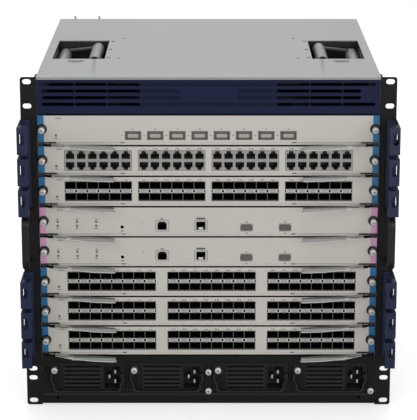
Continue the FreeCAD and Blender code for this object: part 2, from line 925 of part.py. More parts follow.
def board(slot, ports):
    """A circuit board with its ports, heat sink, chips, rear connectors and the stiffener at its front."""
    z = slot_floor(slot) + board_lift
    top = z + board_thickness
    plate = block(-board_half, board_half, board_front, board_back, z, top)
    fold_top = slot_floor(slot) + slot_gap / 2 + fold_thickness
    stiffener = block(-stiffener_half, stiffener_half, board_front, board_front + stiffener_depth,
                      fold_top, z)
    sink = heat_sink(-sink_width / 2, board_front + sink_setback, top)
    chip_front = board_front + chip_setback
    chips = [block(x, x + chip_side, chip_front, chip_front + chip_side, top, top + chip_height)
             for x in chip_places]
    plug_back = midplane_front - connector_depth - touch_gap
    half = connector_width / 2
    plug_top = z - connector_drop + connector_height
    plugs = [block(x - half, x + half, board_back - plug_overlap, plug_back, top, plug_top)
             for x in connector_places]
    return fuse([plate, stiffener, sink] + chips + plugs + ports)


def spread(blocks, pitch, shift):
    """The centres of a row of blocks about the card's middle."""
    return [shift + (index - (blocks - 1) / 2) * pitch for index in range(blocks)]


def port_floor(slot):
    return slot_floor(slot) + board_lift + board_thickness


def wide_port_card(slot):
    z = port_floor(slot)
    centres = spread(wide_port_count, wide_port_pitch, wide_port_shift)
    return [wide_cage(x, z) for x in centres]


def jack_card(slot):
    z = port_floor(slot)
    return [jack_block(x, z, port_columns(block_pitch)) for x in spread(4, block_pitch, 0)]


def cage_card(slot):
    z = port_floor(slot)
    return [cage_block(x, z, port_columns(block_pitch)) for x in spread(4, block_pitch, 0)]


def wide_cage_card(slot):
    z = port_floor(slot)
    columns = port_columns(wide_block_pitch)
    return [cage_block(x, z, columns) for x in spread(3, wide_block_pitch, wide_block_shift)]


def supervisor_card(slot):
    z = port_floor(slot)
    jacks = [single_jack(x, z, x == jack_places[0]) for x in jack_places]
    return jacks + [flat_port(x, z) for x in flat_port_places]


# Power modules


def module_body(left):
    """A closed module with sloping louvres, a sunk three-pin inlet, bail lugs and a thumbscrew."""
    x0 = left + module_gap
    x1 = left + module_width - module_gap
    z0 = bay_bottom + module_gap
    z1 = bay_top - module_gap
    body = block(x0, x1, face_front, module_back, z0, z1)
    cuts = [louvre_cut(left, index) for index in range(louvre_count)]
    inlet_x = left + inlet_start
    inlet_z = bay_bottom + inlet_lift
    cuts.append(block(inlet_x, inlet_x + inlet_width, face_front - overcut, face_front + inlet_depth,
                      inlet_z, inlet_z + inlet_height))
    body = body.cut(Part.makeCompound(cuts))
    plug_back = midplane_front - connector_depth - touch_gap
    middle = left + module_width / 2
    plug_bottom = bay_bottom + power_header_lift + power_plug_inset
    half = power_plug_width / 2
    plug = block(middle - half, middle + half, module_back, plug_back, plug_bottom,
                 plug_bottom + power_header_height - 2 * power_plug_inset)
    screw = thumbscrew(left + module_screw_inset, bay_top - module_screw_drop, screw_reach)
    return fuse([body, plug, screw] + inlet_pins(inlet_x, inlet_z) + bail_lugs(left))


def louvre_cut(left, index):
    """One slot that slopes down and inwards between two fins."""
    pitch = (bay_height - 2 * louvre_edge - louvre_gap) / (louvre_count - 1)
    z = bay_bottom + louvre_edge + index * pitch
    front = face_front - overcut
    back = face_front + louvre_depth
    low = z - louvre_drop
    points = [(front, z), (back, low), (back, low + louvre_gap), (front, z + louvre_gap)]
    return prism(sharp_outline(points, upright(left + louvre_start)), [], Vector(louvre_width, 0, 0))


def inlet_pins(inlet_x, inlet_z):
    """The earth pin and the two others, flat and upright, standing in the inlet's recess."""
    start = face_front + pin_setback
    end = face_front + inlet_depth
    pins = []
    for x, z in pin_places:
        left = inlet_x + x - pin_width / 2
        bottom = inlet_z + (inlet_height - pin_height) / 2 + z
        pins.append(block(left, left + pin_width, start, end, bottom, bottom + pin_height))
    return pins


def bail_pivot_z():
    return bay_top - bail_pivot_drop


def bail_lugs(left):
    """Two lugs on the module's face, each with a pin that the bail's leg turns on."""
    leg_outer = bail_side_gap + bail_strip
    y = face_front - bail_forward
    z = bail_pivot_z()
    lug_start = leg_outer + touch_gap
    lugs = []
    for side, edge in ((1, left), (-1, left + module_width)):
        inner = edge + side * lug_start
        outer = edge + side * (lug_start + bail_lug_thickness)
        lugs.append(block(min(inner, outer), max(inner, outer), y - bail_lug_half, face_front,
                          z - bail_lug_half, z + bail_lug_half))
        pin_end = edge + side * bail_side_gap
        lugs.append(pin(bail_pin_radius, Vector(min(inner, pin_end), y, z), Vector(1, 0, 0),
                        abs(inner - pin_end)))
    return lugs


def module_bail(left):
    """A flat strip bent to a U: its legs pinch in below the pivots and a crossbar joins them."""
    top = bail_pivot_z() + bail_top_reach
    bottom = bay_bottom + bail_lift
    knee_high = bail_pivot_z() - bail_knee_high
    knee_low = bail_pivot_z() - bail_knee_low
    pinched = bail_side_gap + bail_bend
    leg = bail_side_gap + bail_strip
    low_leg = pinched + bail_strip
    outer = [(bail_side_gap, top), (bail_side_gap, knee_high), (pinched, knee_low),
             (pinched, bottom + bail_bend), (pinched + bail_bend, bottom)]
    inner = [(low_leg + bail_bend, bottom + bail_strip), (low_leg, bottom + bail_strip + bail_bend),
             (low_leg, knee_low), (leg, knee_high), (leg, top)]
    right_edge = left + module_width
    outline = [(left + x, z) for x, z in outer] + [(right_edge - x, z) for x, z in reversed(outer)]
    outline += [(right_edge - x, z) for x, z in reversed(inner)] + [(left + x, z) for x, z in inner]
    y = face_front - bail_forward
    strap = panel(outline, [], y - bail_depth / 2, y + bail_depth / 2)
    start = Vector(left - overcut, y, bail_pivot_z())
    return strap.cut(bore(bail_pin_radius, start, Vector(1, 0, 0), module_width + 2 * overcut))


# Fan tray and rotors


def fan_centres():
    middle = (tray_bottom + tray_top) / 2
    corners = ((-1, 1), (1, 1), (-1, -1), (1, -1))
    return [(x * fan_side_pitch / 2, middle + z * fan_height_pitch / 2) for x, z in corners]


def half_chord(radius, height):
    """Half the width of a circle at a height above its middle; nothing outside it."""
    return math.sqrt(max(radius ** 2 - height ** 2, 0))


def guard_slots(x, z):
    """The slots of one fan's guard: rows that fill a circle round the covered motor."""
    pitch = 2 * fan_radius / guard_rows
    slots = []
    for row in range(guard_rows):
        low = -fan_radius + row * pitch + guard_wire / 2
        high = low + pitch - guard_wire
        outer = [max(half_chord(fan_radius, height), guard_wire * 2) for height in (low, high)]
        inner = [half_chord(fan_hub_radius, height) + guard_wire / 2 for height in (low, high)]
        for side in (1, -1):
            slots.append([(x + side * inner[0], z + low), (x + side * outer[0], z + low),
                          (x + side * outer[1], z + high), (x + side * inner[1], z + high)])
    return slots


def tray_handle(side):
    """An upright pull handle beside the fans, bent from a strip."""
    middle = (tray_bottom + tray_top) / 2
    bottom = middle - tray_handle_height / 2
    top = middle + tray_handle_height / 2
    face = body_depth + sheet
    back = face + tray_handle_reach
    bar = tray_handle_bar
    inner = back - bar
    low, high = bottom + bar, top - bar
    lower = [(face, low), (inner - handle_chamfer, low), (inner, low + handle_chamfer)]
    upper = [(inner, high - handle_chamfer), (inner - handle_chamfer, high), (face, high)]
    outside = [(face, top), (back - 2 * handle_chamfer, top), (back, top - 2 * handle_chamfer),
               (back, bottom + 2 * handle_chamfer), (back - 2 * handle_chamfer, bottom), (face, bottom)]
    x = side * (tray_half - tray_handle_inset) - tray_handle_width / 2
    outline = sharp_outline(lower + upper + outside, upright(x))
    return prism(outline, [], Vector(tray_handle_width, 0, 0))


def fan_tray():
    """A box with a slotted cover at the back, wide inlets at the front, and a motor for each fan."""
    face = body_depth
    top = tray_top
    front = face - tray_depth
    slots = []
    inlets = []
    motors = []
    back = Vector(0, 1, 0)
    reach = fan_radius
    for x, z in fan_centres():
        slots += guard_slots(x, z)
        inlets.append(cut_corners(x - reach, x + reach, z - reach, z + reach, inlet_corner))
        motor_front = Vector(x, face - fan_motor_length, z)
        motors.append(many_sided(hub_sides, fan_hub_radius - motor_inset, motor_front, back,
                                 fan_motor_length))
        motors.append(pin(fan_shaft_radius, Vector(x, fan_front, z), back, face - fan_front))
    wide = tray_half + tray_flange
    cover_edge = square_corners(-wide, wide, tray_bottom - sheet, top + sheet / 2)
    cover = panel(cover_edge, slots, face, face + sheet)
    plate_edge = square_corners(-tray_half, tray_half, tray_bottom, top)
    inlet_plate = panel(plate_edge, inlets, front, front + sheet)
    walls = [block(-tray_half, tray_half, front, face, tray_bottom, tray_bottom + sheet),
             block(-tray_half, tray_half, front, face, top - sheet, top),
             block(-tray_half, -tray_half + sheet, front, face, tray_bottom, top),
             block(tray_half - sheet, tray_half, front, face, tray_bottom, top)]
    return fuse([cover, inlet_plate] + walls + motors + [tray_handle(1), tray_handle(-1)])


def fan_rotor(x, z):
    """A hub on the motor's shaft with pitched blades round it."""
    back = Vector(0, 1, 0)
    centre = Vector(x, fan_front, z)
    hub = many_sided(hub_sides, fan_hub_radius, centre, back, fan_hub_length)
    half_blade = fan_blade_chord / 2
    half_thickness = fan_blade_thickness / 2
    blades = []
    for index in range(fan_blades):
        blade = block(fan_hub_radius - blade_root, fan_radius - fan_tip_gap, -half_blade,
                      half_blade, -half_thickness, half_thickness)
        blade.rotate(Vector(0, 0, 0), Vector(1, 0, 0), fan_blade_pitch_angle)
        blade.translate(Vector(0, fan_hub_length / 2, 0))
        blade.rotate(Vector(0, 0, 0), Vector(0, 1, 0), index * 360 / fan_blades)
        blade.translate(centre)
        blades.append(blade)
    start = centre - back * overcut
    return fuse([hub] + blades).cut(bore(fan_shaft_radius, start, back, fan_hub_length + 2 * overcut))


# Assembly


def card_pieces(slot):
    """The face, board and two levers of the card in a slot."""
    kinds = {1: wide_port_card, 2: jack_card, 3: cage_card, 4: supervisor_card, 5: supervisor_card}
    ports = kinds.get(slot, wide_cage_card)(slot)
    windows = []
    for solid, outline in ports:
        xs = [x for x, z in outline]
        zs = [z for x, z in outline]
        windows.append(window(min(xs), max(xs), min(zs), max(zs)))
    lever = ejector_lever(slot)
    name = "card_%d" % slot
    return {
        name + "_face": card_face(slot, windows),
        name + "_board": board(slot, [solid for solid, outline in ports]),
        name + "_lever_right": lever,
        name + "_lever_left": mirrored(lever),
    }


def all_pieces():
    pieces = {
        "chassis_shell": chassis_shell(),
        "top_cover": top_cover(),
        "card_cage": card_cage(),
        "midplane": midplane(),
        "vent_panel": vent_panel(),
        "fan_tray": fan_tray(),
    }
    sided = {
        "ear": ear_right(),
        "side_handle": handle_right(),
        "upper_cable_guide": cable_guide([1, 2, 3]),
        "lower_cable_guide": cable_guide([6, 7, 8]),
        "lifting_bail": lifting_bail(),
    }
    for name, shape in sided.items():
        pieces[name + "_right"] = shape
        pieces[name + "_left"] = mirrored(shape)
    for slot in range(1, slot_count + 1):
        pieces.update(card_pieces(slot))
    for module in range(1, module_count + 1):
        left = module_left(module)
        pieces["power_module_%d" % module] = module_body(left)
        pieces["power_module_%d_bail" % module] = module_bail(left)
    for index, (x, z) in enumerate(fan_centres(), 1):
        pieces["fan_rotor_%d" % index] = fan_rotor(x, z)
    return pieces


def place(shape):
    """Moves a piece from the ears' front face to the origin, under the middle of the whole depth."""
    moved = shape.copy()
    moved.translate(Vector(0, -mid_depth, 0))
    return moved


def main():
    os.makedirs("parts", exist_ok=True)
    for name, shape in all_pieces().items():
        placed = place(shape)
        placed.exportStep("parts/%s.step" % name)
        print(name, len(placed.Solids), round(placed.Volume), placed.isValid())


main()
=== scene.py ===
import bpy
import bmesh
import math
from mathutils import Matrix, Vector


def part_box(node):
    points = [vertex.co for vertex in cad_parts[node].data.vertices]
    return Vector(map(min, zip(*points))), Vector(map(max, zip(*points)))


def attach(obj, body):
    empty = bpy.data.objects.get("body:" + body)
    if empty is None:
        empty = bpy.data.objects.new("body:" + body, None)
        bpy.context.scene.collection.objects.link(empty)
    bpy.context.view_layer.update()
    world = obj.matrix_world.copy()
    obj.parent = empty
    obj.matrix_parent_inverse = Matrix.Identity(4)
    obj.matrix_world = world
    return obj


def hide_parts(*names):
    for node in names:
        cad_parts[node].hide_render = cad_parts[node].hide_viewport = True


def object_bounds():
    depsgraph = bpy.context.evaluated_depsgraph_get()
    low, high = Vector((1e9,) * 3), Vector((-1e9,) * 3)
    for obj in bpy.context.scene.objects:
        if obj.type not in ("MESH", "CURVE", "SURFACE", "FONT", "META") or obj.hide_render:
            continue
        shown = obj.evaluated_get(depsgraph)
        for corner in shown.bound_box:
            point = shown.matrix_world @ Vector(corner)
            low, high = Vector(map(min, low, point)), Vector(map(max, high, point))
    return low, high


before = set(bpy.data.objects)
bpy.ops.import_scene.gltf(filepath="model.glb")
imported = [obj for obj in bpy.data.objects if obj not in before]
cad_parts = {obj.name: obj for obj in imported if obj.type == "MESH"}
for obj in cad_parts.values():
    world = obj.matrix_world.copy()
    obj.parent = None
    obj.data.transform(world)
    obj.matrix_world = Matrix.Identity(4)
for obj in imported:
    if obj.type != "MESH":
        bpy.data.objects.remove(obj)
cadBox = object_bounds()
scene = bpy.context.scene
scene.view_settings.view_transform = "Standard"
mm = 0.001

# planes and heights, all read from the frame
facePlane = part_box("vent_panel")[0].y
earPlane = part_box("ear_right")[0].y
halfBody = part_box("chassis_shell")[1].x
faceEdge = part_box("card_1_face")[1].x
printPlane = facePlane - 0.06 * mm
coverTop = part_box("ear_right")[1].z
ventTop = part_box("vent_panel")[1].z
cardNames = ["card_%d" % n for n in range(1, 9)]
moduleNames = ["power_module_%d" % n for n in range(1, 5)]
supervisors = ("card_4", "card_5")
cardBase = {name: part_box(name + "_face")[0].z for name in cardNames}
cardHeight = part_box("card_8_face")[1].z - cardBase["card_8"]
slotPitch = (cardBase["card_1"] - cardBase["card_8"]) / 7
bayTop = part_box("power_module_1")[1].z
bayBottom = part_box("power_module_1")[0].z

# how ports lie on a card, from the middle of the row and up from the face's lower edge
ports = {
    "pitch": 14.42 * mm, "floor": 6.8 * mm, "jackTop": 33.5 * mm, "cageTop": 32.7 * mm, "cageDepth": 48 * mm,
    "bandLow": 17.5 * mm, "bandHigh": 22.7 * mm, "jackDepth": 27 * mm,
    # the hole between two cages, painted dark as its shade, and the pale ring round it
    "spotHalf": (1.5 * mm, 2.1 * mm), "ringHalf": (3.1 * mm, 3.8 * mm),
    "jack": {"count": 4, "pitch": 95.2 * mm, "columns": 6, "shift": 0.0},
    "cage": {"count": 4, "pitch": 95.2 * mm, "columns": 6, "shift": 0.0},
    "wideCage": {"count": 3, "pitch": 131.15 * mm, "columns": 8, "shift": 4.0 * mm},
}
portKinds = {"card_1": "wide", "card_2": "jack", "card_3": "cage", "card_4": "single", "card_5": "single",
             "card_6": "wideCage", "card_7": "wideCage", "card_8": "wideCage"}


def portColumns(kind):
    # the middle of every column of ports, from the left
    row = ports[kind]
    places = []
    for block in range(row["count"]):
        centre = row["shift"] + (block - (row["count"] - 1) / 2) * row["pitch"]
        places += [centre + (column - (row["columns"] - 1) / 2) * ports["pitch"]
                   for column in range(row["columns"])]
    return places


class Sock:
    # one output of a node, so that shader maths reads as plain expressions
    def __init__(self, tree, out):
        self.tree = tree
        self.out = out

    def node(self, kind, settings=None, values=None, pick=0):
        made = self.tree.nodes.new(kind)
        for key, value in (settings or {}).items():
            setattr(made, key, value)
        for key, value in (values or {}).items():
            if isinstance(value, Sock):
                self.tree.links.new(value.out, made.inputs[key])
            else:
                made.inputs[key].default_value = value
        return Sock(self.tree, made.outputs[pick])

    def maths(self, operation, *others):
        values = {0: self}
        values.update({i + 1: other for i, other in enumerate(others)})
        return self.node("ShaderNodeMath", {"operation": operation}, values)

    def __add__(self, other):
        return self.maths("ADD", other)

    def __radd__(self, other):
        return self.maths("ADD", other)

    def __sub__(self, other):
        return self.maths("SUBTRACT", other)

    def __rsub__(self, other):
        return (self * -1.0).maths("ADD", other)

    def __mul__(self, other):
        return self.maths("MULTIPLY", other)

    def __rmul__(self, other):
        return self.maths("MULTIPLY", other)

    def __truediv__(self, other):
        return self.maths("DIVIDE", other)

    def __mod__(self, other):
        return self.maths("FLOORED_MODULO", other)

    def __abs__(self):
        return self.maths("ABSOLUTE")

    def __lt__(self, other):
        return self.maths("LESS_THAN", other)

    def __gt__(self, other):
        return self.maths("GREATER_THAN", other)

    def __or__(self, other):
        return self.maths("MAXIMUM", other)

    def near(self, centre, reach):
        return self.maths("COMPARE", centre, reach)

    def span(self, low, high):
        return self.near((low + high) / 2, (high - low) / 2)

    def ripple(self, step):
        return self - (self / step).maths("ROUND") * step

    def within(self, other, centre, half):
        # 1 inside an ellipse round a centre, in this socket and another one
        across = (self - centre[0]) / half[0]
        up = (other - centre[1]) / half[1]
        return across * across + up * up < 1.0

    def mix(self, first, second):
        values = {"Factor": self, "A": first, "B": second}
        return self.node("ShaderNodeMix", {"data_type": "RGBA"}, values, pick=2)


class Look:
    # a material under construction, with its places in metres
    def __init__(self, name):
        self.material = bpy.data.materials.new(name)
        self.material.use_nodes = True
        self.tree = self.material.node_tree
        self.shader = self.tree.nodes["Principled BSDF"]
        self.start = Sock(self.tree, None)
        self.place = self.start.node("ShaderNodeTexCoord", pick=3)
        self.x, self.y, self.z = [self.start.node("ShaderNodeSeparateXYZ", None, {0: self.place}, pick=i)
                                  for i in range(3)]

    def noise(self, scale, detail=2.0, stretch=None):
        where = self.place
        if stretch:
            where = self.start.node("ShaderNodeMapping", None, {"Vector": self.place, "Scale": stretch})
        values = {"Vector": where, "Scale": scale, "Detail": detail}
        return self.start.node("ShaderNodeTexNoise", None, values)

    def feed(self, **inputs):
        for key, value in inputs.items():
            socket = self.shader.inputs[key.replace("_", " ")]
            if isinstance(value, Sock):
                self.tree.links.new(value.out, socket)
            else:
                socket.default_value = value

    def bump(self, height, strength, distance):
        self.feed(Normal=self.start.node("ShaderNodeBump", None, {"Height": height, "Strength": strength,
                                                                  "Distance": distance}))

    def paint(self, colour, roughness, drift=0.06, grain=2600.0):
        # powder coat: fine orange peel and a slow drift of tone
        slow = self.noise(9.0, 3.0)
        self.feed(Roughness=slow * 0.12 + (roughness - 0.06))
        self.bump(self.noise(grain, 1.0), 0.12, 0.0002)
        return slow.mix(scaled(colour, 1 - drift), scaled(colour, 1 + drift))


def anyOf(masks):
    # 1 where any of the masks is
    joined = masks[0]
    for mask in masks[1:]:
        joined = joined | mask
    return joined


def grey(level):
    return (level, level, level, 1.0)


def shade(red, green, blue):
    # a display colour from 0 to 255, as the shader takes it
    linear = [((c / 255 + 0.055) / 1.055) ** 2.4 if c > 10 else c / 3294 for c in (red, green, blue)]
    return tuple(linear) + (1.0,)


def scaled(colour, share):
    return tuple(min(c * share, 1.0) for c in colour[:3]) + (1.0,)


paints = {
    "cover": shade(186, 186, 187), "face": shade(190, 186, 179), "navy": shade(21, 29, 58),
    "black": shade(25, 25, 26), "deepBlack": shade(14, 14, 14), "blueBand": shade(14, 100, 148),
    "pinkBand": shade(200, 144, 180), "zinc": shade(176, 178, 180), "steel": shade(196, 195, 193),
    "marks": shade(52, 51, 49),
}

coverMarks = {
    # places across from the middle and back from the ears' plane; halves are half sizes
    "dashes": [(0.1342, 0.136), (0.1342, 0.1965), (0.1342, 0.2575)], "dashHalf": (2.9 * mm, 4.0 * mm),
    "dots": [(0.120, 0.1306), (0.120, 0.2818)], "dotHalf": (2.0 * mm, 3.8 * mm),
    "rivets": [0.106, 0.190, 0.267, 0.350, 0.427], "rivetX": -3.8 * mm, "rivetHalf": (2.2 * mm, 2.6 * mm),
    "seams": [(0.2015, 0.300), (0.2170, 0.246), (0.2180, 0.197)], "seamHalf": (3.4 * mm, 1.6 * mm),
    "scoop": (0.1765, 0.1160), "scoopHalf": (11.5 * mm, 17 * mm),
    "tubeReflection": 0.1476, "streakLean": 0.036, "streakHalf": 2.4 * mm, "streakEnd": 0.127,
    "well": (0.1385, 0.1265), "fold": 3.4 * mm, "foldBack": 4.2 * mm,
}


def coverLook():
    look = Look("coverPaint")
    tone = look.paint(paints["cover"], 0.42, 0.04)
    side = abs(look.x)
    back = look.y - earPlane
    onTop = look.z > coverTop - 0.6 * mm
    dark = anyOf([side.within(back, centre, coverMarks["dashHalf"]) for centre in coverMarks["dashes"]]
                 + [side.within(back, centre, coverMarks["dotHalf"]) for centre in coverMarks["dots"]])
    seamAcross, seamAlong = coverMarks["seamHalf"]
    faint = anyOf([look.x.within(back, (coverMarks["rivetX"], place), coverMarks["rivetHalf"])
                   for place in coverMarks["rivets"]]
                  + [side.near(x, seamAcross) * back.near(y, seamAlong) for x, y in coverMarks["seams"]])
    # a painted shade patch where a shallow finger dimple lies near each well
    scoop = side.within(back, coverMarks["scoop"], coverMarks["scoopHalf"]) * (back < coverMarks["scoop"][1])
    # a painted reflection of the bail's tube: a soft dark streak that narrows and darkens from the front edge
    # to the well
    end = coverMarks["streakEnd"]
    core = 1.0 - abs(side - coverMarks["tubeReflection"] - back * coverMarks["streakLean"]) / (
        coverMarks["streakHalf"] * (2.6 - back / 0.08))
    tubeReflection = core.maths("MAXIMUM", 0.0) * back.span(4 * mm, end) * (back / end)
    tone = (tubeReflection * onTop * 0.9).mix(tone, shade(118, 118, 116))
    tone = (dark * onTop * 0.92).mix(tone, grey(0.012))
    tone = (faint * onTop * 0.4).mix(tone, shade(120, 120, 120))
    tone = (scoop * onTop * 0.85).mix(tone, shade(86, 86, 86))
    # painted shade on the cover's forward-facing front fold, and darker painted shade along its crease
    fold = (look.z < coverTop - 0.7 * mm) * (back < coverMarks["foldBack"])
    creaseShade = look.z.near(coverTop - coverMarks["fold"] / 2, 0.7 * mm) * fold
    tone = (fold * 0.8).mix(tone, shade(140, 141, 138))
    tone = (creaseShade * 0.7).mix(tone, shade(118, 118, 116))
    # painted shade inside the wells
    wellSide, wellFront = coverMarks["well"]
    wellShade = (look.z < coverTop - 1.4 * mm) * (side > wellSide - 3 * mm) * (back > wellFront - 3 * mm)
    look.feed(Base_Color=wellShade.mix(tone, shade(24, 24, 24)))
    return look.material


faceMarks = {
    "band": 8.2 * mm, "bandFoot": 3.2 * mm, "lineUp": 3.4 * mm, "lineHalf": 0.3 * mm,
    "lineSpan": (0.113, 0.1965), "dashSpan": (0.1080, 0.1135), "dashUp": 3.1 * mm, "dashHalf": 0.55 * mm,
    "notch": 0.1965, "notchTop": 3.15 * mm, "fold": 2.3 * mm, "proud": 1.4 * mm, "pinTop": 8 * mm,
}


def faceLook(name, bandColour):
    look = Look(name)
    tone = look.paint(paints["face"], 0.40, 0.03)
    side = abs(look.x)
    up = (look.z - cardBase["card_8"]) % slotPitch
    band = side.span(faceEdge - faceMarks["band"], faceEdge + 1.0 * mm) * (up > faceMarks["bandFoot"])
    tone = band.mix(tone, bandColour)
    # painted shade: a thin dark line where the lever's back edge sits in a slot, a darker shadow dash at the
    # slot's end, and a shadow line over the notch
    slotShade = up.near(faceMarks["lineUp"], faceMarks["lineHalf"]) * side.span(*faceMarks["lineSpan"])
    tone = (slotShade * 0.35).mix(tone, grey(0.05))
    slotEndShadow = up.near(faceMarks["dashUp"], faceMarks["dashHalf"]) * side.span(*faceMarks["dashSpan"])
    over = up.near(3.5 * mm, 0.5 * mm) * (side > faceMarks["notch"])
    tone = ((slotEndShadow | over) * 0.9).mix(tone, grey(0.01))
    # the folds behind the plate, painted shade along the top and bottom edges for the gaps between cards, and
    # painted shade in the notches at the corners
    tone = (look.y > facePlane + faceMarks["fold"]).mix(tone, paints["zinc"])
    gapShade = (up > cardHeight - 0.45 * mm) | (up < 0.4 * mm)
    ends = (up < faceMarks["notchTop"]) | (up > cardHeight - 1 * mm)
    corner = ends * (side > faceMarks["notch"] - 1 * mm) * (look.y > facePlane + 0.05 * mm)
    tone = (gapShade | corner).mix(tone, paints["deepBlack"])
    # what stands in front: steel screws above, black lever pins below
    proud = look.y < facePlane - faceMarks["proud"]
    tone = (proud * (up > faceMarks["pinTop"])).mix(tone, paints["steel"])
    tone = (proud * (up < faceMarks["pinTop"])).mix(tone, paints["deepBlack"])
    look.feed(Base_Color=tone, Specular_IOR_Level=0.4)
    return look.material


navyMarks = {"web": 129.83 * mm, "webStep": 41.84 * mm, "webHalf": 1.3 * mm, "webSpan": (0.125, 0.176),
             "row": 5.6 * mm, "rowStep": 8.7 * mm, "rowHalf": 1.9 * mm, "top": 3 * mm, "foot": 34 * mm,
             "grooves": 40 * mm}


def navyLook(name, roughness, gloss):
    # the slots' webs are darker, and painted shade darkens the grooves behind the panel's front
    look = Look(name)
    tone = look.paint(paints["navy"], roughness, 0.08)
    down = ventTop - look.z
    side = abs(look.x)
    grooveShade = (look.y > facePlane + 0.3 * mm) * down.span(navyMarks["top"], navyMarks["grooves"])
    web = (side - navyMarks["web"]).ripple(navyMarks["webStep"]).near(0.0, navyMarks["webHalf"])
    row = (down - navyMarks["row"]).ripple(navyMarks["rowStep"]).near(0.0, navyMarks["rowHalf"])
    webs = web * row * side.span(*navyMarks["webSpan"]) * down.span(navyMarks["top"], navyMarks["foot"])
    tone = (grooveShade * 0.5).mix(tone, shade(6, 10, 20))
    look.feed(Base_Color=(webs * 0.8).mix(tone, shade(4, 6, 12)), Specular_IOR_Level=gloss)
    return look.material


def bayLook():
    # the bay's front has a folded seam under the modules, painted lighter as a highlight along its edge
    look = Look("bayBlack")
    tone = look.paint(paints["black"], 0.5, 0.1)
    seam = look.z.near(bayBottom - 4.2 * mm, 0.7 * mm) * (look.y < facePlane + 1 * mm)
    look.feed(Base_Color=(seam * 0.8).mix(tone, shade(58, 58, 58)), Specular_IOR_Level=0.1)
    return look.material


def darkLook(name, roughness, colour, gloss=0.1):
    look = Look(name)
    look.feed(Base_Color=look.paint(colour, roughness, 0.10), Specular_IOR_Level=gloss)
    return look.material


moduleMarks = {
    # places from the module's left edge and its bottom
    "fins": (18.5 * mm, 69.5 * mm), "finTop": 6 * mm, "latch": (6.4 * mm, 18.5 * mm), "latchTop": 24 * mm,
    "catches": [(10.2 * mm, 15.0 * mm), (13.8 * mm, 11.8 * mm)], "catchHalf": 0.8 * mm, "screwDrop": 14 * mm,
}


def moduleLook(name):
    low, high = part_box(name)
    look = Look(name + "Black")
    along = look.x - low.x
    up = look.z - low.z
    tone = look.paint(shade(26, 26, 26), 0.5, 0.1)
    # the louvre zone is painted lighter, as painted light on the fins' sloping faces
    fins = along.span(*moduleMarks["fins"]) * (look.z < high.z - moduleMarks["finTop"])
    tone = fins.mix(tone, shade(36, 36, 36))
    latch = along.span(*moduleMarks["latch"]) * (up < moduleMarks["latchTop"])
    tone = latch.mix(tone, shade(20, 20, 20))
    half = moduleMarks["catchHalf"]
    catches = anyOf([along.near(x, half) * up.near(z, half) for x, z in moduleMarks["catches"]])
    tone = catches.mix(tone, shade(2, 2, 2))
    # parts behind the face, the inlet's cavity among them, are painted lighter than the face, as painted
    # light reaching into them
    deep = (look.y > facePlane + 1.2 * mm) * (1.0 - fins)
    tone = deep.mix(tone, shade(38, 38, 38))
    screw = (look.y < facePlane - 7.6 * mm) * (look.z > bayTop - moduleMarks["screwDrop"])
    look.feed(Base_Color=screw.mix(tone, shade(70, 70, 70)), Specular_IOR_Level=0.15)
    return look.material


def zincLook():
    look = Look("zincSheet")
    cells = look.start.node("ShaderNodeTexVoronoi", None, {"Vector": look.place, "Scale": 150.0}, pick=1)
    spangle = look.start.node("ShaderNodeSeparateColor", None, {0: cells})
    fine = look.noise(300.0, 3.0)
    tone = spangle.mix(shade(160, 162, 165), shade(173, 175, 178))
    # painted shade: black on the sheet's front inside the card bay, seen through the gaps between cards
    mouthShade = (look.y < facePlane + 20 * mm) * (abs(look.x) < faceEdge + 0.4 * mm)
    look.feed(Base_Color=mouthShade.mix(tone, paints["deepBlack"]), Metallic=0.65 * (1.0 - mouthShade),
              Roughness=spangle * 0.05 + fine * 0.08 + 0.36)
    look.bump(fine, 0.08, 0.0002)
    return look.material


def brushedLook(name, colour, roughness, stretch, metal):
    # drawn metal, its lines along one axis
    look = Look(name)
    lines = look.noise(3.0, 4.0, stretch)
    look.feed(Base_Color=lines.mix(scaled(colour, 0.86), colour), Metallic=metal,
              Roughness=lines * 0.18 + (roughness - 0.09))
    look.bump(lines, 0.10, 0.0001)
    return look.material


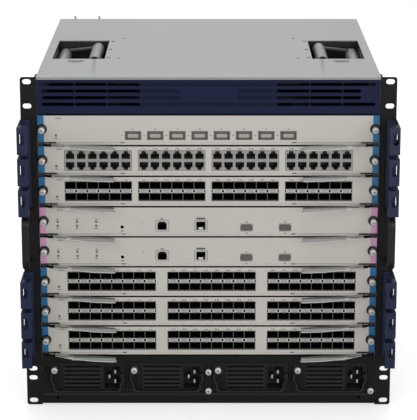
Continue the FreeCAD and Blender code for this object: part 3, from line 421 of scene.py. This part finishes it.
levers = {
    "pivotX": halfBody - 17.0 * mm, "pivotY": facePlane - 6.0 * mm, "height": 1.8 * mm,
    # the front edge and then the back edge, outwards from the pivot
    "front": [(7.0, -2.5), (2.0, -4.4), (-4.0, -6.4), (-9.5, -9.8), (-14.0, -12.2), (-20.0, -13.7),
              (-32.0, -14.8), (-54.0, -16.3), (-70.0, -17.9), (-79.0, -18.9), (-81.8, -18.7), (-82.5, -17.2)],
    "back": [(-82.3, -14.4), (-81.0, -13.3), (-70.0, -10.4), (-54.0, -8.1), (-36.0, -6.3), (-25.0, -5.3),
             (-19.0, -3.6), (-14.0, -0.8), (-9.0, 1.9), (-5.0, 3.2), (5.0, 3.1), (7.0, 1.9)],
    # the black moulding round the root, and a dark seam along the blade's front edge near it
    "root": [(7.45, -2.7), (2.0, -4.8), (-1.8, -5.8), (-1.2, -4.3), (2.0, -2.4), (7.45, -0.2)],
    "seam": [(-1.0, -5.55), (-4.0, -6.7), (-9.5, -10.1), (-14.0, -12.5), (-20.0, -14.0), (-20.0, -13.2),
             (-14.0, -11.6), (-9.5, -9.2), (-4.0, -5.9), (-1.0, -4.75)],
    # the lip turned down under the handle, and the rolled edge below it
    "lip": [(-24.0, -14.2), (-32.0, -14.85), (-54.0, -16.35), (-70.0, -17.95), (-79.0, -18.95),
            (-81.8, -18.75), (-82.45, -17.25), (-81.2, -17.3), (-79.0, -17.6), (-70.0, -16.6),
            (-54.0, -15.0), (-32.0, -13.5), (-24.0, -12.9)],
    "lipDrop": 2.4 * mm,
    "edge": [(-14.0, -12.2), (-20.0, -13.9), (-32.0, -15.15), (-54.0, -16.65), (-70.0, -18.3), (-79.0, -19.3),
             (-82.6, -18.9), (-83.4, -16.6), (-83.4, -13.4), (-82.2, -13.4), (-81.9, -16.4), (-79.0, -17.9),
             (-70.0, -16.9), (-54.0, -15.3), (-32.0, -13.8), (-20.0, -12.6), (-14.0, -11.2)],
    "edgeDrop": 3.6 * mm, "edgeHeight": 1.25 * mm, "edgeFrom": 14 * mm, "edgeRun": 40 * mm,
    "edgeStart": 0.2 * mm, "grip": 26 * mm, "stud": (-0.6, -4.2), "studRadius": 1.3 * mm,
}


def pinLook():
    # contact blades, metal at their tips and painted dark behind them as the shade in the inlet
    look = Look("contactPin")
    worn = look.noise(500.0, 3.0)
    tip = look.y < facePlane + 3.4 * mm
    tone = worn.mix(shade(176, 175, 172), shade(198, 197, 194))
    look.feed(Base_Color=(1.0 - tip).mix(tone, shade(40, 40, 40)), Roughness=worn * 0.2 + 0.25,
              Metallic=tip * 0.4)
    return look.material


def leverLook():
    # drawn steel, darker along the handle in a painted dark reflection of the bay
    look = Look("leverSteel")
    lines = look.noise(3.0, 4.0, (6.0, 400.0, 400.0))
    tone = lines.mix(shade(165, 164, 160), shade(188, 187, 183))
    handle = abs(look.x) < levers["pivotX"] - levers["grip"]
    look.feed(Base_Color=handle.mix(tone, shade(146, 146, 143)), Metallic=0.35, Roughness=lines * 0.18 + 0.27)
    look.bump(lines, 0.10, 0.0001)
    return look.material


def bailLook():
    # polished tube, drawn along its length
    look = Look("bailTube")
    lines = look.noise(3.0, 3.0, (90.0, 5.0, 90.0))
    tone = lines.mix(shade(168, 168, 168), shade(192, 192, 192))
    look.feed(Base_Color=tone, Metallic=0.5, Roughness=lines * 0.08 + 0.24)
    return look.material


# the supervisors' jacks, and how light each kind of port block is
singleJack = {"left": -60.5 * mm, "right": -10.0 * mm, "half": 5.9 * mm, "low": 8.7 * mm, "high": 19.6 * mm,
              "cut": 2.4 * mm}
# card 1's wide blocks are darker, partly as painted shade of the gaps round its plugs
blockLevels = {"jack": 146, "single": 178, "wide": 112, "cage": 158, "wideCage": 158}


def boardLook(card, kind):
    # green board, metal port blocks in front of it, with painted shade and light inside their openings
    look = Look(card + "BoardLook")
    up = look.z - cardBase[card]
    back = look.y - facePlane
    weave = look.noise(900.0, 2.0)
    colour = weave.mix(shade(14, 58, 36), shade(22, 78, 50))
    depth = ports["jackDepth"] if kind in ("jack", "single") else ports["cageDepth"]
    block = (back < depth + 0.5 * mm) * (up > ports["floor"] - 0.1 * mm)
    level = blockLevels[kind]
    dull = shade(level - 10, level - 11, level - 14)
    colour = block.mix(colour, look.noise(40.0, 2.0).mix(dull, shade(level + 8, level + 7, level + 3)))
    if kind in ("cage", "wideCage"):
        row = ports[kind]
        start = row["shift"] + (row["count"] - 1) % 2 * row["pitch"] / 2
        along = (look.x - start).ripple(row["pitch"]).ripple(ports["pitch"])
        middle = (ports["bandLow"] + ports["bandHigh"]) / 2
        spot = along.within(up, (0.0, middle), ports["spotHalf"])
        ring = along.within(up, (0.0, middle), ports["ringHalf"])
        band = up.span(ports["bandLow"], ports["bandHigh"])
        front = block * (back < 0.3 * mm)
        colour = (front * ring * band).mix(colour, shade(188, 188, 186))
        colour = (front * (1.0 - band)).mix(colour, shade(92, 92, 91))
        colour = (front * spot).mix(colour, shade(26, 26, 26))
    # the supervisors' jack mouths, painted black as the shade in their openings
    if kind == "single":
        low, high, half = singleJack["low"], singleJack["high"], singleJack["half"]
        for centre, cut in ((singleJack["left"], singleJack["cut"]), (singleJack["right"], 0.0)):
            off = abs(look.x - centre)
            mouthShade = (off < half) * up.span(low, high) * (off + up < half + high - cut)
            colour = (mouthShade * (back < 0.3 * mm)).mix(colour, shade(8, 8, 8))
    # inside the openings: painted shade, near black, in the cages; a mid grey in the jacks, as painted light
    # reaching into them
    inside = (back < depth) * (back > 0.35 * mm) * (up > ports["floor"] + 0.2 * mm)
    colour = inside.mix(colour, shade(92, 90, 87) if kind == "jack" else shade(12, 11, 10))
    chips = (up > ports["floor"] + 0.4 * mm) * (back > depth + 1 * mm)
    colour = chips.mix(colour, shade(40, 42, 46))
    look.feed(Base_Color=colour, Roughness=0.5, Metallic=block * 0.3 * (1.0 - inside), Specular_IOR_Level=0.3)
    look.bump(weave, 0.08, 0.0001)
    return look.material


def midplaneLook():
    look = Look("midplaneBoard")
    weave = look.noise(900.0, 2.0)
    header = look.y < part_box("midplane")[1].y - 4.2 * mm
    colour = weave.mix(shade(14, 58, 36), shade(22, 78, 50))
    look.feed(Base_Color=header.mix(colour, shade(36, 36, 38)), Roughness=0.5)
    look.bump(weave, 0.08, 0.0001)
    return look.material


looks = {
    "cover": coverLook(), "faceBlue": faceLook("facePaintBlueBand", paints["blueBand"]),
    "facePink": faceLook("facePaintPinkBand", paints["pinkBand"]), "navy": navyLook("navyPaint", 0.5, 0.10),
    "navyPlastic": navyLook("navyMoulding", 0.36, 0.28),
    "black": darkLook("blackPaint", 0.5, paints["black"]),
    "blackPlastic": darkLook("blackMoulding", 0.55, shade(20, 20, 21)), "bay": bayLook(),
    "handle": darkLook("handlePaint", 0.38, shade(20, 20, 21), 0.25),
    "moduleBail": darkLook("bailStrip", 0.45, shade(34, 34, 34), 0.2),
    "zinc": zincLook(), "lever": leverLook(), "bail": bailLook(),
    # the lever's rolled edge is painted lighter than the blade, as a painted highlight
    "leverEdgeHighlight": brushedLook("leverEdgeHighlight", shade(205, 204, 200), 0.3, (6.0, 400.0, 400.0), 0.3),
    "screw": brushedLook("screwSteel", shade(196, 195, 192), 0.42, (400.0, 6.0, 400.0), 0.45),
    "pin": pinLook(), "collar": darkLook("screwCollar", 0.45, paints["deepBlack"], 0.3),
    "midplane": midplaneLook(), "print": darkLook("greyPrint", 0.6, paints["marks"]),
    "lamp": darkLook("lampLens", 0.25, shade(128, 130, 126), 0.5),
    "hole": darkLook("holeShade", 0.8, shade(4, 4, 4), 0.0),
    "bezel": darkLook("paleBezel", 0.4, shade(196, 195, 192)),
    "arm": brushedLook("bailArm", shade(92, 92, 92), 0.45, (6.0, 400.0, 400.0), 0.3),
    "soft": darkLook("rootMoulding", 0.85, shade(9, 9, 9), 0.04),
    "rubber": darkLook("plugRubber", 0.45, shade(158, 156, 150), 0.4),
    "rubberDark": darkLook("plugRecess", 0.6, shade(96, 94, 90)),
    "tabSteel": darkLook("tabSteel", 0.5, shade(70, 69, 68), 0.1),
}


def dress(node, material):
    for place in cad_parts[node].material_slots:
        place.link = "OBJECT"
        place.material = material


def nodeLook(node):
    if node.endswith("_face"):
        return looks["facePink" if node[:6] in supervisors else "faceBlue"]
    if node.endswith("_board"):
        return boardLook(node[:6], portKinds[node[:6]])
    if node in moduleNames:
        return moduleLook(node)
    for part, name in (("_lever_", "lever"), ("lifting_bail", "bail"), ("cable_guide", "navyPlastic"),
                       ("side_handle", "handle"), ("_bail", "moduleBail"),
                       ("card_cage", "bay"), ("ear_", "black"), ("fan_rotor", "blackPlastic"),
                       ("chassis_shell", "zinc"), ("fan_tray", "zinc"), ("top_cover", "cover"),
                       ("vent_panel", "navy"), ("midplane", "midplane")):
        if part in node:
            return looks[name]


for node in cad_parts:
    dress(node, nodeLook(node))


def addBevel(piece, width):
    edge = piece.modifiers.new("edge", "BEVEL")
    edge.width = width
    edge.segments = 2
    edge.limit_method = "ANGLE"
    edge.angle_limit = math.radians(35)


def soften(node, width):
    # rounds a node's edges: joined, flattened, then bevelled
    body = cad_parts[node]
    body.modifiers.new("join", "WELD").merge_threshold = 1e-5
    flat = body.modifiers.new("flat", "DECIMATE")
    flat.decimate_type = "DISSOLVE"
    flat.angle_limit = math.radians(1.0)
    addBevel(body, width)


softEdges = {"top_cover": 0.5, "chassis_shell": 0.4, "vent_panel": 0.35, "card_cage": 0.3, "fan_tray": 0.4,
             "ear_": 0.5, "side_handle": 1.4, "cable_guide": 0.9, "_face": 0.3, "_bail": 0.4}
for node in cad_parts:
    for part, width in softEdges.items():
        if part in node and "lifting" not in node:
            soften(node, width * mm)
for name in moduleNames:
    soften(name, 0.3 * mm)
print("CAD nodes dressed")


def finishPiece(name, mesh, material, body, bevel=0.0):
    made = bpy.data.meshes.new(name)
    mesh.normal_update()
    mesh.to_mesh(made)
    mesh.free()
    piece = bpy.data.objects.new(name, made)
    scene.collection.objects.link(piece)
    made.materials.append(material)
    for face in made.polygons:
        face.use_smooth = True
    made.set_sharp_from_angle(angle=math.radians(35))
    if bevel:
        addBevel(piece, bevel)
    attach(piece, body)
    return piece


def addBox(mesh, low, high):
    centre = [(a + b) / 2 for a, b in zip(low, high)]
    place = Matrix.Translation(centre) @ Matrix.Diagonal([b - a for a, b in zip(low, high)] + [1.0])
    return bmesh.ops.create_cube(mesh, size=1.0, matrix=place)["verts"]


def addDisc(mesh, x, z, front, back, radius, sides):
    # a round plug along the depth
    place = Matrix.Translation((x, (front + back) / 2, z)) @ Matrix.Rotation(math.radians(90), 4, "X")
    return bmesh.ops.create_cone(mesh, cap_ends=True, segments=sides, radius1=radius, radius2=radius,
                                 depth=back - front, matrix=place)["verts"]


def frontFaces(verts, plane):
    # the faces of these corners that lie in front of a plane
    found = {face for vert in verts for face in vert.link_faces}
    return [face for face in found if face.calc_center_median().y < plane]


def addRounded(mesh, x, z, wide, tall, front, back, radius):
    # a block with rounded corners seen from the front; returns its front face
    verts = addBox(mesh, (x - wide / 2, front, z - tall / 2), (x + wide / 2, back, z + tall / 2))
    edges = {edge for vert in verts for edge in vert.link_edges}
    deep = [edge for edge in edges if abs(edge.verts[0].co.y - edge.verts[1].co.y) > (back - front) / 2]
    made = bmesh.ops.bevel(mesh, geom=deep, offset=radius, segments=4, profile=0.5, affect="EDGES",
                           material=-1)
    around = {vert for face in made["faces"] for vert in face.verts}
    return frontFaces(around, front + (back - front) * 0.01)


def addText(mesh, words, x, z, size):
    # plain numbers printed on a card's face
    curve = bpy.data.curves.new("mark", "FONT")
    curve.body = words
    curve.size = size
    curve.offset = size * 0.03
    curve.align_x = "CENTER"
    curve.resolution_u = 2
    holder = bpy.data.objects.new("mark", curve)
    made = bpy.data.meshes.new_from_object(holder)
    before = set(mesh.verts)
    mesh.from_mesh(made)
    fresh = [vert for vert in mesh.verts if vert not in before]
    place = Matrix.Translation((x, printPlane, z)) @ Matrix.Rotation(math.radians(90), 4, "X")
    bmesh.ops.transform(mesh, matrix=place, verts=fresh)
    bpy.data.objects.remove(holder)
    bpy.data.curves.remove(curve)
    bpy.data.meshes.remove(made)


screws = {
    "reach": 11.4 * mm, "radius": 4.2 * mm, "headLength": 7.4 * mm, "neck": 4.1 * mm, "cross": 2.0 * mm,
    "crossHalf": 0.3 * mm, "collarRadius": 6.4 * mm, "collarHeight": 2.6 * mm, "fromEdge": 5.6 * mm,
    "drop": 18.0 * mm, "flutes": 24, "fluteDepth": 0.14 * mm, "dome": 0.5 * mm,
}


def addScrew(heads, x, z, front, length):
    # a fluted head with a slightly domed end
    rim = addDisc(heads, x, z, front, front + length, screws["radius"], screws["flutes"] * 2)
    for index, vert in enumerate(sorted(rim, key=lambda v: math.atan2(v.co.z - z, v.co.x - x))):
        if index // 2 % 2:
            vert.co -= Vector((vert.co.x - x, 0, vert.co.z - z)).normalized() * screws["fluteDepth"]
    cap = frontFaces(rim, front + length / 4)
    bmesh.ops.inset_region(heads, faces=cap, thickness=screws["radius"] * 0.3, depth=0.0)
    bmesh.ops.translate(heads, verts=cap[0].verts, vec=(0, -screws["dome"], 0))


def makeScrews(name, places, body, reach=screws["reach"], length=screws["headLength"], collars=True):
    # heads on necks, with dark crosses laid on them as painted shade in their recesses; a neck without a
    # collar is dark
    heads = bmesh.new()
    crosses = bmesh.new()
    rings = bmesh.new()
    necks = heads if collars else crosses
    front = facePlane - reach
    crossFront = front - screws["dome"] - 0.04 * mm
    collarFront = facePlane - screws["collarHeight"]
    for x, z in places:
        addScrew(heads, x, z, front, length)
        addDisc(necks, x, z, front + length - 0.1 * mm, facePlane - 0.1 * mm, screws["neck"], 24)
        for wide, tall in ((screws["cross"], screws["crossHalf"]), (screws["crossHalf"], screws["cross"])):
            addBox(crosses, (x - wide, crossFront, z - tall), (x + wide, front, z + tall))
        addDisc(rings, x, z, collarFront, facePlane - 0.02 * mm, screws["collarRadius"], 40)
    finishPiece(name + "Heads", heads, looks["screw"], body, bevel=0.12 * mm)
    finishPiece(name + "Recesses", crosses, looks["tabSteel"], body)
    if collars:
        finishPiece(name + "Collars", rings, looks["collar"], body, bevel=0.5 * mm)
    else:
        rings.free()


for name in cardNames:
    z = cardBase[name] + cardHeight - screws["drop"]
    x = faceEdge - screws["fromEdge"]
    makeScrews(name + "Screws", [(-x, z), (x, z)], name)
for name in moduleNames:
    place = (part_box(name)[0].x + 7.2 * mm, bayTop - 7.6 * mm)
    makeScrews(name + "Screw", [place], name, length=5.0 * mm, collars=False)
bayPlaces = [(0, bayBottom + 28.1 * mm), (0, bayBottom + 1.7 * mm),
             (faceEdge - 4.5 * mm, bayBottom + 1.9 * mm)]
makeScrews("bayScrews", bayPlaces, "chassis", reach=5.2 * mm, length=3.2 * mm, collars=False)
print("screws made")


def addOutline(mesh, corners, side, bottom, height):
    # a flat shape seen from above, about the lever's pivot, raised to its height
    verts = [mesh.verts.new((side * (levers["pivotX"] + a * mm), levers["pivotY"] + b * mm, bottom))
             for a, b in corners]
    made = bmesh.ops.extrude_face_region(mesh, geom=[mesh.faces.new(verts)])["geom"]
    raised = [item for item in made if isinstance(item, bmesh.types.BMVert)]
    bmesh.ops.translate(mesh, verts=raised, vec=(0, 0, height))
    bmesh.ops.recalc_face_normals(mesh, faces=mesh.faces[:])


def makeLever(card, side, hand):
    node = "%s_lever_%s" % (card, hand)
    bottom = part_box(node)[0].z
    blade = bmesh.new()
    addOutline(blade, levers["front"] + levers["back"], side, bottom, levers["height"])
    piece = finishPiece(node + "_blade", blade, looks["lever"], node, bevel=0.4 * mm)
    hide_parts(node)
    lip = bmesh.new()
    addOutline(lip, levers["lip"], side, bottom - levers["lipDrop"], levers["lipDrop"] + 0.4 * mm)
    finishPiece(node + "_lip", lip, looks["lever"], node, bevel=0.4 * mm)
    # the lip's rolled edge lies lower towards the handle's end
    edge = bmesh.new()
    addOutline(edge, levers["edge"], side, bottom - levers["edgeDrop"], levers["edgeHeight"])
    for vert in edge.verts:
        reach = (levers["pivotX"] - side * vert.co.x - levers["edgeFrom"]) / levers["edgeRun"]
        vert.co.z += (1.0 - min(max(reach, 0.0), 1.0)) * (levers["edgeDrop"] - levers["edgeStart"])
    finishPiece(node + "_edge", edge, looks["leverEdgeHighlight"], node, bevel=0.4 * mm)
    root = bmesh.new()
    addOutline(root, levers["root"], side, bottom - 0.25 * mm, levers["height"] + 0.45 * mm)
    addOutline(root, levers["seam"], side, bottom + levers["height"] - 0.5 * mm, 0.6 * mm)
    x = side * (levers["pivotX"] + levers["stud"][0] * mm)
    place = Matrix.Translation((x, levers["pivotY"] + levers["stud"][1] * mm, bottom + 0.6 * mm))
    bmesh.ops.create_cone(root, cap_ends=True, segments=16, radius1=levers["studRadius"],
                          radius2=levers["studRadius"], depth=3.0 * mm, matrix=place)
    finishPiece(node + "_root", root, looks["soft"], node, bevel=0.15 * mm)


for name in cardNames:
    makeLever(name, 1, "right")
    makeLever(name, -1, "left")
print("levers made")

bails = {
    # runs are measured back from the ears' plane
    "radius": 8.6 * mm, "bore": 7.5 * mm, "grip": (154.4 * mm, 432.8 * mm), "gripRun": (157 * mm, 259 * mm),
    "sleeveRun": (138 * mm, 263 * mm), "axle": 5.6 * mm, "armHalf": 1.5 * mm, "armRise": 5.0 * mm,
    "armRuns": [(158 * mm, 164 * mm), (249 * mm, 258 * mm)], "armZ": 433.6 * mm,
    "catch": (176.5 * mm, 261.5 * mm, 415.5 * mm), "catchHalf": (2.6 * mm, 1.4 * mm),
    "catchBack": 266.6 * mm,
}


def addTube(mesh, x, z, front, back, radius, bore):
    # a pipe along the depth, its ends joined to its bore by rings
    outer = addDisc(mesh, x, z, front, back, radius, 40)
    ends = [face for face in {f for v in outer for f in v.link_faces} if abs(face.normal.y) > 0.9]
    bmesh.ops.inset_individual(mesh, faces=ends, thickness=radius - bore, depth=0.0)
    bmesh.ops.bridge_loops(mesh, edges=[edge for face in ends for edge in face.edges])
    bmesh.ops.delete(mesh, geom=ends, context="FACES_ONLY")


def makeBail(side, hand):
    # a sleeve on the axle and a grip beside it, joined by two arms, and the catch that holds them down
    node = "lifting_bail_" + hand
    low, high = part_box(node)
    outerX = max(abs(low.x), abs(high.x)) - bails["radius"]
    outerZ = low.z + bails["radius"]
    gripX, gripZ = bails["grip"]
    sleeve = [earPlane + y for y in bails["sleeveRun"]]
    grip = [earPlane + y for y in bails["gripRun"]]
    tubes = bmesh.new()
    addTube(tubes, side * outerX, outerZ, *sleeve, bails["radius"], bails["axle"])
    addTube(tubes, side * gripX, gripZ, *grip, bails["radius"], bails["bore"])
    bmesh.ops.recalc_face_normals(tubes, faces=tubes.faces[:])
    piece = finishPiece(node + "_tubes", tubes, looks["bail"], node, bevel=0.3 * mm)
    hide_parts(node)
    arms = bmesh.new()
    span = outerX - gripX - bails["radius"] * 1.3
    lean = math.atan2(bails["armRise"], outerX - gripX)
    for front, back in bails["armRuns"]:
        middle = (side * (outerX + gripX) / 2, earPlane + (front + back) / 2, bails["armZ"])
        place = Matrix.Translation(middle) @ Matrix.Rotation(side * lean, 4, "Y")
        place = place @ Matrix.Diagonal((span, back - front, bails["armHalf"] * 2, 1.0))
        bmesh.ops.create_cube(arms, size=1.0, matrix=place)
    finishPiece(node + "_arms", arms, looks["arm"], node, bevel=0.5 * mm)
    catch = bmesh.new()
    x, y, z = bails["catch"]
    wide, tall = bails["catchHalf"]
    back = earPlane + bails["catchBack"]
    addBox(catch, (side * x - wide, earPlane + y, z - tall), (side * x + wide, back, z + tall))
    finishPiece(node + "_catch", catch, looks["arm"], "chassis", bevel=0.6 * mm)


makeBail(1, "right")
makeBail(-1, "left")
print("lifting bails made")

plugs = {"count": 8, "pitch": 28.6 * mm, "shift": 2.9 * mm, "wide": 18.3 * mm, "tall": 9.0 * mm,
         "middle": 12.4 * mm, "corner": 2.4 * mm, "rim": 1.5 * mm, "sunk": 0.5 * mm,
         "inner": (14.2 * mm, 5.3 * mm), "innerDrop": 0.4 * mm}


def makePlugs(card):
    # grey plugs with sunk middles in the wide ports
    frames = bmesh.new()
    middles = bmesh.new()
    marks = bmesh.new()
    z = cardBase[card] + plugs["middle"]
    for index in range(plugs["count"]):
        x = plugs["shift"] + (index - (plugs["count"] - 1) / 2) * plugs["pitch"]
        front = addRounded(frames, x, z, plugs["wide"], plugs["tall"], facePlane + plugs["sunk"],
                           facePlane + 2.15 * mm, plugs["corner"])
        bmesh.ops.inset_region(frames, faces=front, thickness=plugs["rim"], depth=0.0)
        bmesh.ops.inset_region(frames, faces=front, thickness=0.3 * mm, depth=-0.8 * mm)
        addRounded(middles, x, z - plugs["innerDrop"], *plugs["inner"], facePlane + 0.2 * mm,
                   facePlane + 1.9 * mm, 1.6 * mm)
        addText(marks, "%02d" % (index + 1), x, z + 8.0 * mm, 2.1 * mm)
        addDisc(marks, x - 14.3 * mm, z, facePlane - 0.08 * mm, facePlane, 0.8 * mm, 12)
    finishPiece("dustPlugs", frames, looks["rubberDark"], card, bevel=0.3 * mm)
    finishPiece("dustPlugMiddles", middles, looks["rubber"], card, bevel=0.7 * mm)
    finishPiece("dustPlugMarks", marks, looks["print"], card)


makePlugs("card_1")
print("plugs made")

tabs = {"wide": 6.4 * mm, "tall": 1.1 * mm, "over": 0.45 * mm, "front": -0.05 * mm, "back": 0.6 * mm}


def makePortMarks(card, kind):
    # small plain numbers over the columns, and the cages' sprung tabs beside the band
    marks = bmesh.new()
    springs = bmesh.new()
    base = cardBase[card]
    top = ports["jackTop"] if kind == "jack" else ports["cageTop"]
    for index, x in enumerate(portColumns(kind)):
        addText(marks, "%d %d" % (index * 2 + 1, index * 2 + 2), x, base + top + 1.4 * mm, 2.3 * mm)
        for height in (ports["bandLow"] - tabs["over"], ports["bandHigh"] + tabs["over"]):
            low = (x - tabs["wide"] / 2, facePlane + tabs["front"], base + height - tabs["tall"] / 2)
            high = (x + tabs["wide"] / 2, facePlane + tabs["back"], base + height + tabs["tall"] / 2)
            addBox(springs, low, high)
    finishPiece(card + "_numbers", marks, looks["print"], card)
    if kind == "jack":
        springs.free()
    else:
        finishPiece(card + "_tabs", springs, looks["tabSteel"], card)


for name, kind in portKinds.items():
    if kind in ports:
        makePortMarks(name, kind)

lamps = {"place": (-0.1965, 12.6 * mm), "radius": 1.6 * mm, "lens": 0.95 * mm, "proud": 0.35 * mm,
         "pairs": (-0.1964, -0.1713, -0.1462), "pairUps": (19.6 * mm, 14.1 * mm),
         "number": (-0.1930, 34.4 * mm)}


def makeLamps(card):
    # status lamps in dark rings, with a plain number by each, and the card's own numbers
    lenses = bmesh.new()
    marks = bmesh.new()
    base = cardBase[card]
    number = card[-1]
    if card in supervisors:
        places = [(x, up) for x in lamps["pairs"] for up in lamps["pairUps"]]
        above, below = lamps["pairUps"]
        for index, x in enumerate(lamps["pairs"]):
            addText(marks, str(1001 + index), x, base + above + 2.6 * mm, 2.1 * mm)
            addText(marks, str(2001 + index), x, base + below - 4.3 * mm, 1.9 * mm)
    else:
        places = [lamps["place"]]
        x, up = lamps["place"]
        addText(marks, "100" + number, x, base + up - 4.5 * mm, 2.0 * mm)
    for x, up in places:
        addDisc(lenses, x, base + up, facePlane - lamps["proud"], facePlane, lamps["lens"], 20)
        addDisc(marks, x, base + up, facePlane - 0.1 * mm, facePlane, lamps["radius"], 24)
    x, up = lamps["number"]
    addText(marks, "%s000 %s001" % (number, number), x, base + up, 1.9 * mm)
    finishPiece(card + "_lamps", lenses, looks["lamp"], card, bevel=0.15 * mm)
    finishPiece(card + "_marks", marks, looks["print"], card)


for name in cardNames:
    makeLamps(name)
print("marks and lamps made")

control = {
    "bar": (11.8 * mm, 2.3 * mm), "barUp": 23.9 * mm, "tab": (9.8 * mm, 3.2 * mm), "tabUp": 10.4 * mm,
    "flats": (49.6 * mm, 99.8 * mm), "flat": (15.2 * mm, 8.6 * mm), "flatUp": 11.75 * mm,
    # across, up and radius
    "reset": (-112.5 * mm, 12.4 * mm, 2.2 * mm), "tiny": (-85.6 * mm, 19.2 * mm, 0.6 * mm),
}


def makeHoles(name, places, body):
    # dark dots painted as the shade in small holes: across, height and radius
    holes = bmesh.new()
    for x, z, radius in places:
        addDisc(holes, x, z, facePlane - 0.05 * mm, facePlane, radius, 28)
    finishPiece(name, holes, looks["hole"], body)


def makeControls(card):
    # a supervisor's bar and tab at one jack, covered flat sockets and reset hole
    base = cardBase[card]
    x = singleJack["right"]
    bar = bmesh.new()
    addRounded(bar, x, base + control["barUp"], *control["bar"], facePlane - 0.5 * mm, facePlane, 1.1 * mm)
    finishPiece(card + "_bar", bar, looks["rubberDark"], card, bevel=0.15 * mm)
    tab = bmesh.new()
    addRounded(tab, x, base + control["tabUp"], *control["tab"], facePlane + 0.1 * mm,
               facePlane + 0.7 * mm, 0.9 * mm)
    finishPiece(card + "_tab", tab, looks["bezel"], card, bevel=0.15 * mm)
    covers = bmesh.new()
    marks = bmesh.new()
    middle = base + control["flatUp"]
    for index, x in enumerate(control["flats"]):
        front = addRounded(covers, x, middle, *control["flat"], facePlane - 0.8 * mm, facePlane, 2.6 * mm)
        bmesh.ops.inset_region(covers, faces=front, thickness=1.2 * mm, depth=0.0)
        bmesh.ops.inset_region(covers, faces=front, thickness=0.5 * mm, depth=-0.5 * mm)
        addText(marks, "%d0" % (index + 1), x, middle + 6.6 * mm, 2.6 * mm)
        addText(marks, "%d0" % (index + 3), x, middle - 8.6 * mm, 2.4 * mm)
    addText(marks, "000", singleJack["left"], base + 22.4 * mm, 2.6 * mm)
    addText(marks, "000", control["reset"][0], base + control["reset"][1] - 6.0 * mm, 2.3 * mm)
    finishPiece(card + "_covers", covers, looks["rubberDark"], card, bevel=0.2 * mm)
    finishPiece(card + "_prints", marks, looks["print"], card)
    dots = [(x, base + up, radius) for x, up, radius in (control["reset"], control["tiny"])]
    makeHoles(card + "_holes", dots, card)


for name in supervisors:
    makeControls(name)

inlets = {"fromRight": 27.4 * mm, "middle": 19.7 * mm, "half": (1.2 * mm, 2.5 * mm), "near": 2.8 * mm,
          "far": 17.6 * mm, "pins": [(6.5 * mm, 0.0), (14.2 * mm, 6.5 * mm), (14.2 * mm, -6.5 * mm)]}


def makePins(name):
    # three contact blades standing in the inlet
    low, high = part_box(name)
    wide, tall = inlets["half"]
    pins = bmesh.new()
    for across, up in inlets["pins"]:
        x = high.x - inlets["fromRight"] + across
        z = low.z + inlets["middle"] + up
        near = (x - wide, facePlane + inlets["near"], z - tall)
        far = (x + wide, facePlane + inlets["far"], z + tall)
        addBox(pins, near, far)
    finishPiece(name + "_pins", pins, looks["pin"], name, bevel=0.35 * mm)


for name in moduleNames:
    makePins(name)

bayHoles = [(-215.8 * mm, 50.2 * mm, 1.6 * mm), (-200.6 * mm, 8.3 * mm, 1.9 * mm),
            (200.0 * mm, 9.4 * mm, 1.9 * mm)]
makeHoles("bayHoles", bayHoles, "chassis")
print("sockets and holes made")


view = {"lens": 171.7, "back": 2.513, "height": 0.942, "tilt": 15.008}


def makeCamera():
    data = bpy.data.cameras.new("camera")
    data.lens = view["lens"]
    data.clip_end = 50.0
    camera = bpy.data.objects.new("camera", data)
    camera.location = (0.0, earPlane - view["back"], view["height"])
    camera.rotation_euler = (math.radians(90 - view["tilt"]), 0.0, 0.0)
    scene.collection.objects.link(camera)
    scene.camera = camera


paper = {"half": 8.0, "below": 0.2 * mm, "seen": 0.95, "lit": (0.78, 0.80), "glow": 0.5}


def makeFloor():
    # pale paper, lighter to the camera than it is to the object
    mesh = bmesh.new()
    place = Matrix.Translation((0, 0, cadBox[0].z - paper["below"]))
    bmesh.ops.create_grid(mesh, x_segments=1, y_segments=1, size=paper["half"], matrix=place)
    made = bpy.data.meshes.new("floor")
    mesh.to_mesh(made)
    mesh.free()
    floor = bpy.data.objects.new("floor", made)
    scene.collection.objects.link(floor)
    look = Look("floorPaper")
    seen = look.start.node("ShaderNodeLightPath")
    fibre = look.noise(2.0, 2.0).mix(*[grey(level) for level in paper["lit"]])
    look.feed(Base_Color=seen.mix(fibre, grey(paper["seen"])), Roughness=0.9, Specular_IOR_Level=0.1,
              Emission_Color=seen.mix(grey(0.0), grey(paper["glow"])), Emission_Strength=1.0)
    made.materials.append(look.material)


# place, size and power of each lamp
lights = {"key": ((-1.2, -2.9, 1.2), 2.4, 23.0), "fill": ((1.2, -3.0, 0.15), 2.2, 50.0),
          "top": ((0.0, 1.5, 2.2), 1.8, 20.0)}


def makeLamp(name, place, size, power):
    data = bpy.data.lights.new(name, "AREA")
    data.shape = "DISK"
    data.size = size
    data.energy = power
    lamp = bpy.data.objects.new(name, data)
    lamp.location = place
    lamp.rotation_euler = (Vector((0, 0, 0.2)) - Vector(place)).to_track_quat("-Z", "Y").to_euler()
    scene.collection.objects.link(lamp)


def makeWorld():
    # white to the camera, a plain grey to the object
    world = bpy.data.worlds.new("studio")
    scene.world = world
    world.use_nodes = True
    background = world.node_tree.nodes["Background"]
    seen = Sock(world.node_tree, None).node("ShaderNodeLightPath")
    world.node_tree.links.new(seen.mix(grey(0.45), grey(1.0)).out, background.inputs["Color"])
    background.inputs["Strength"].default_value = 1.0


makeCamera()
makeFloor()
for name, settings in lights.items():
    makeLamp(name, *settings)
makeWorld()
print("stage set")
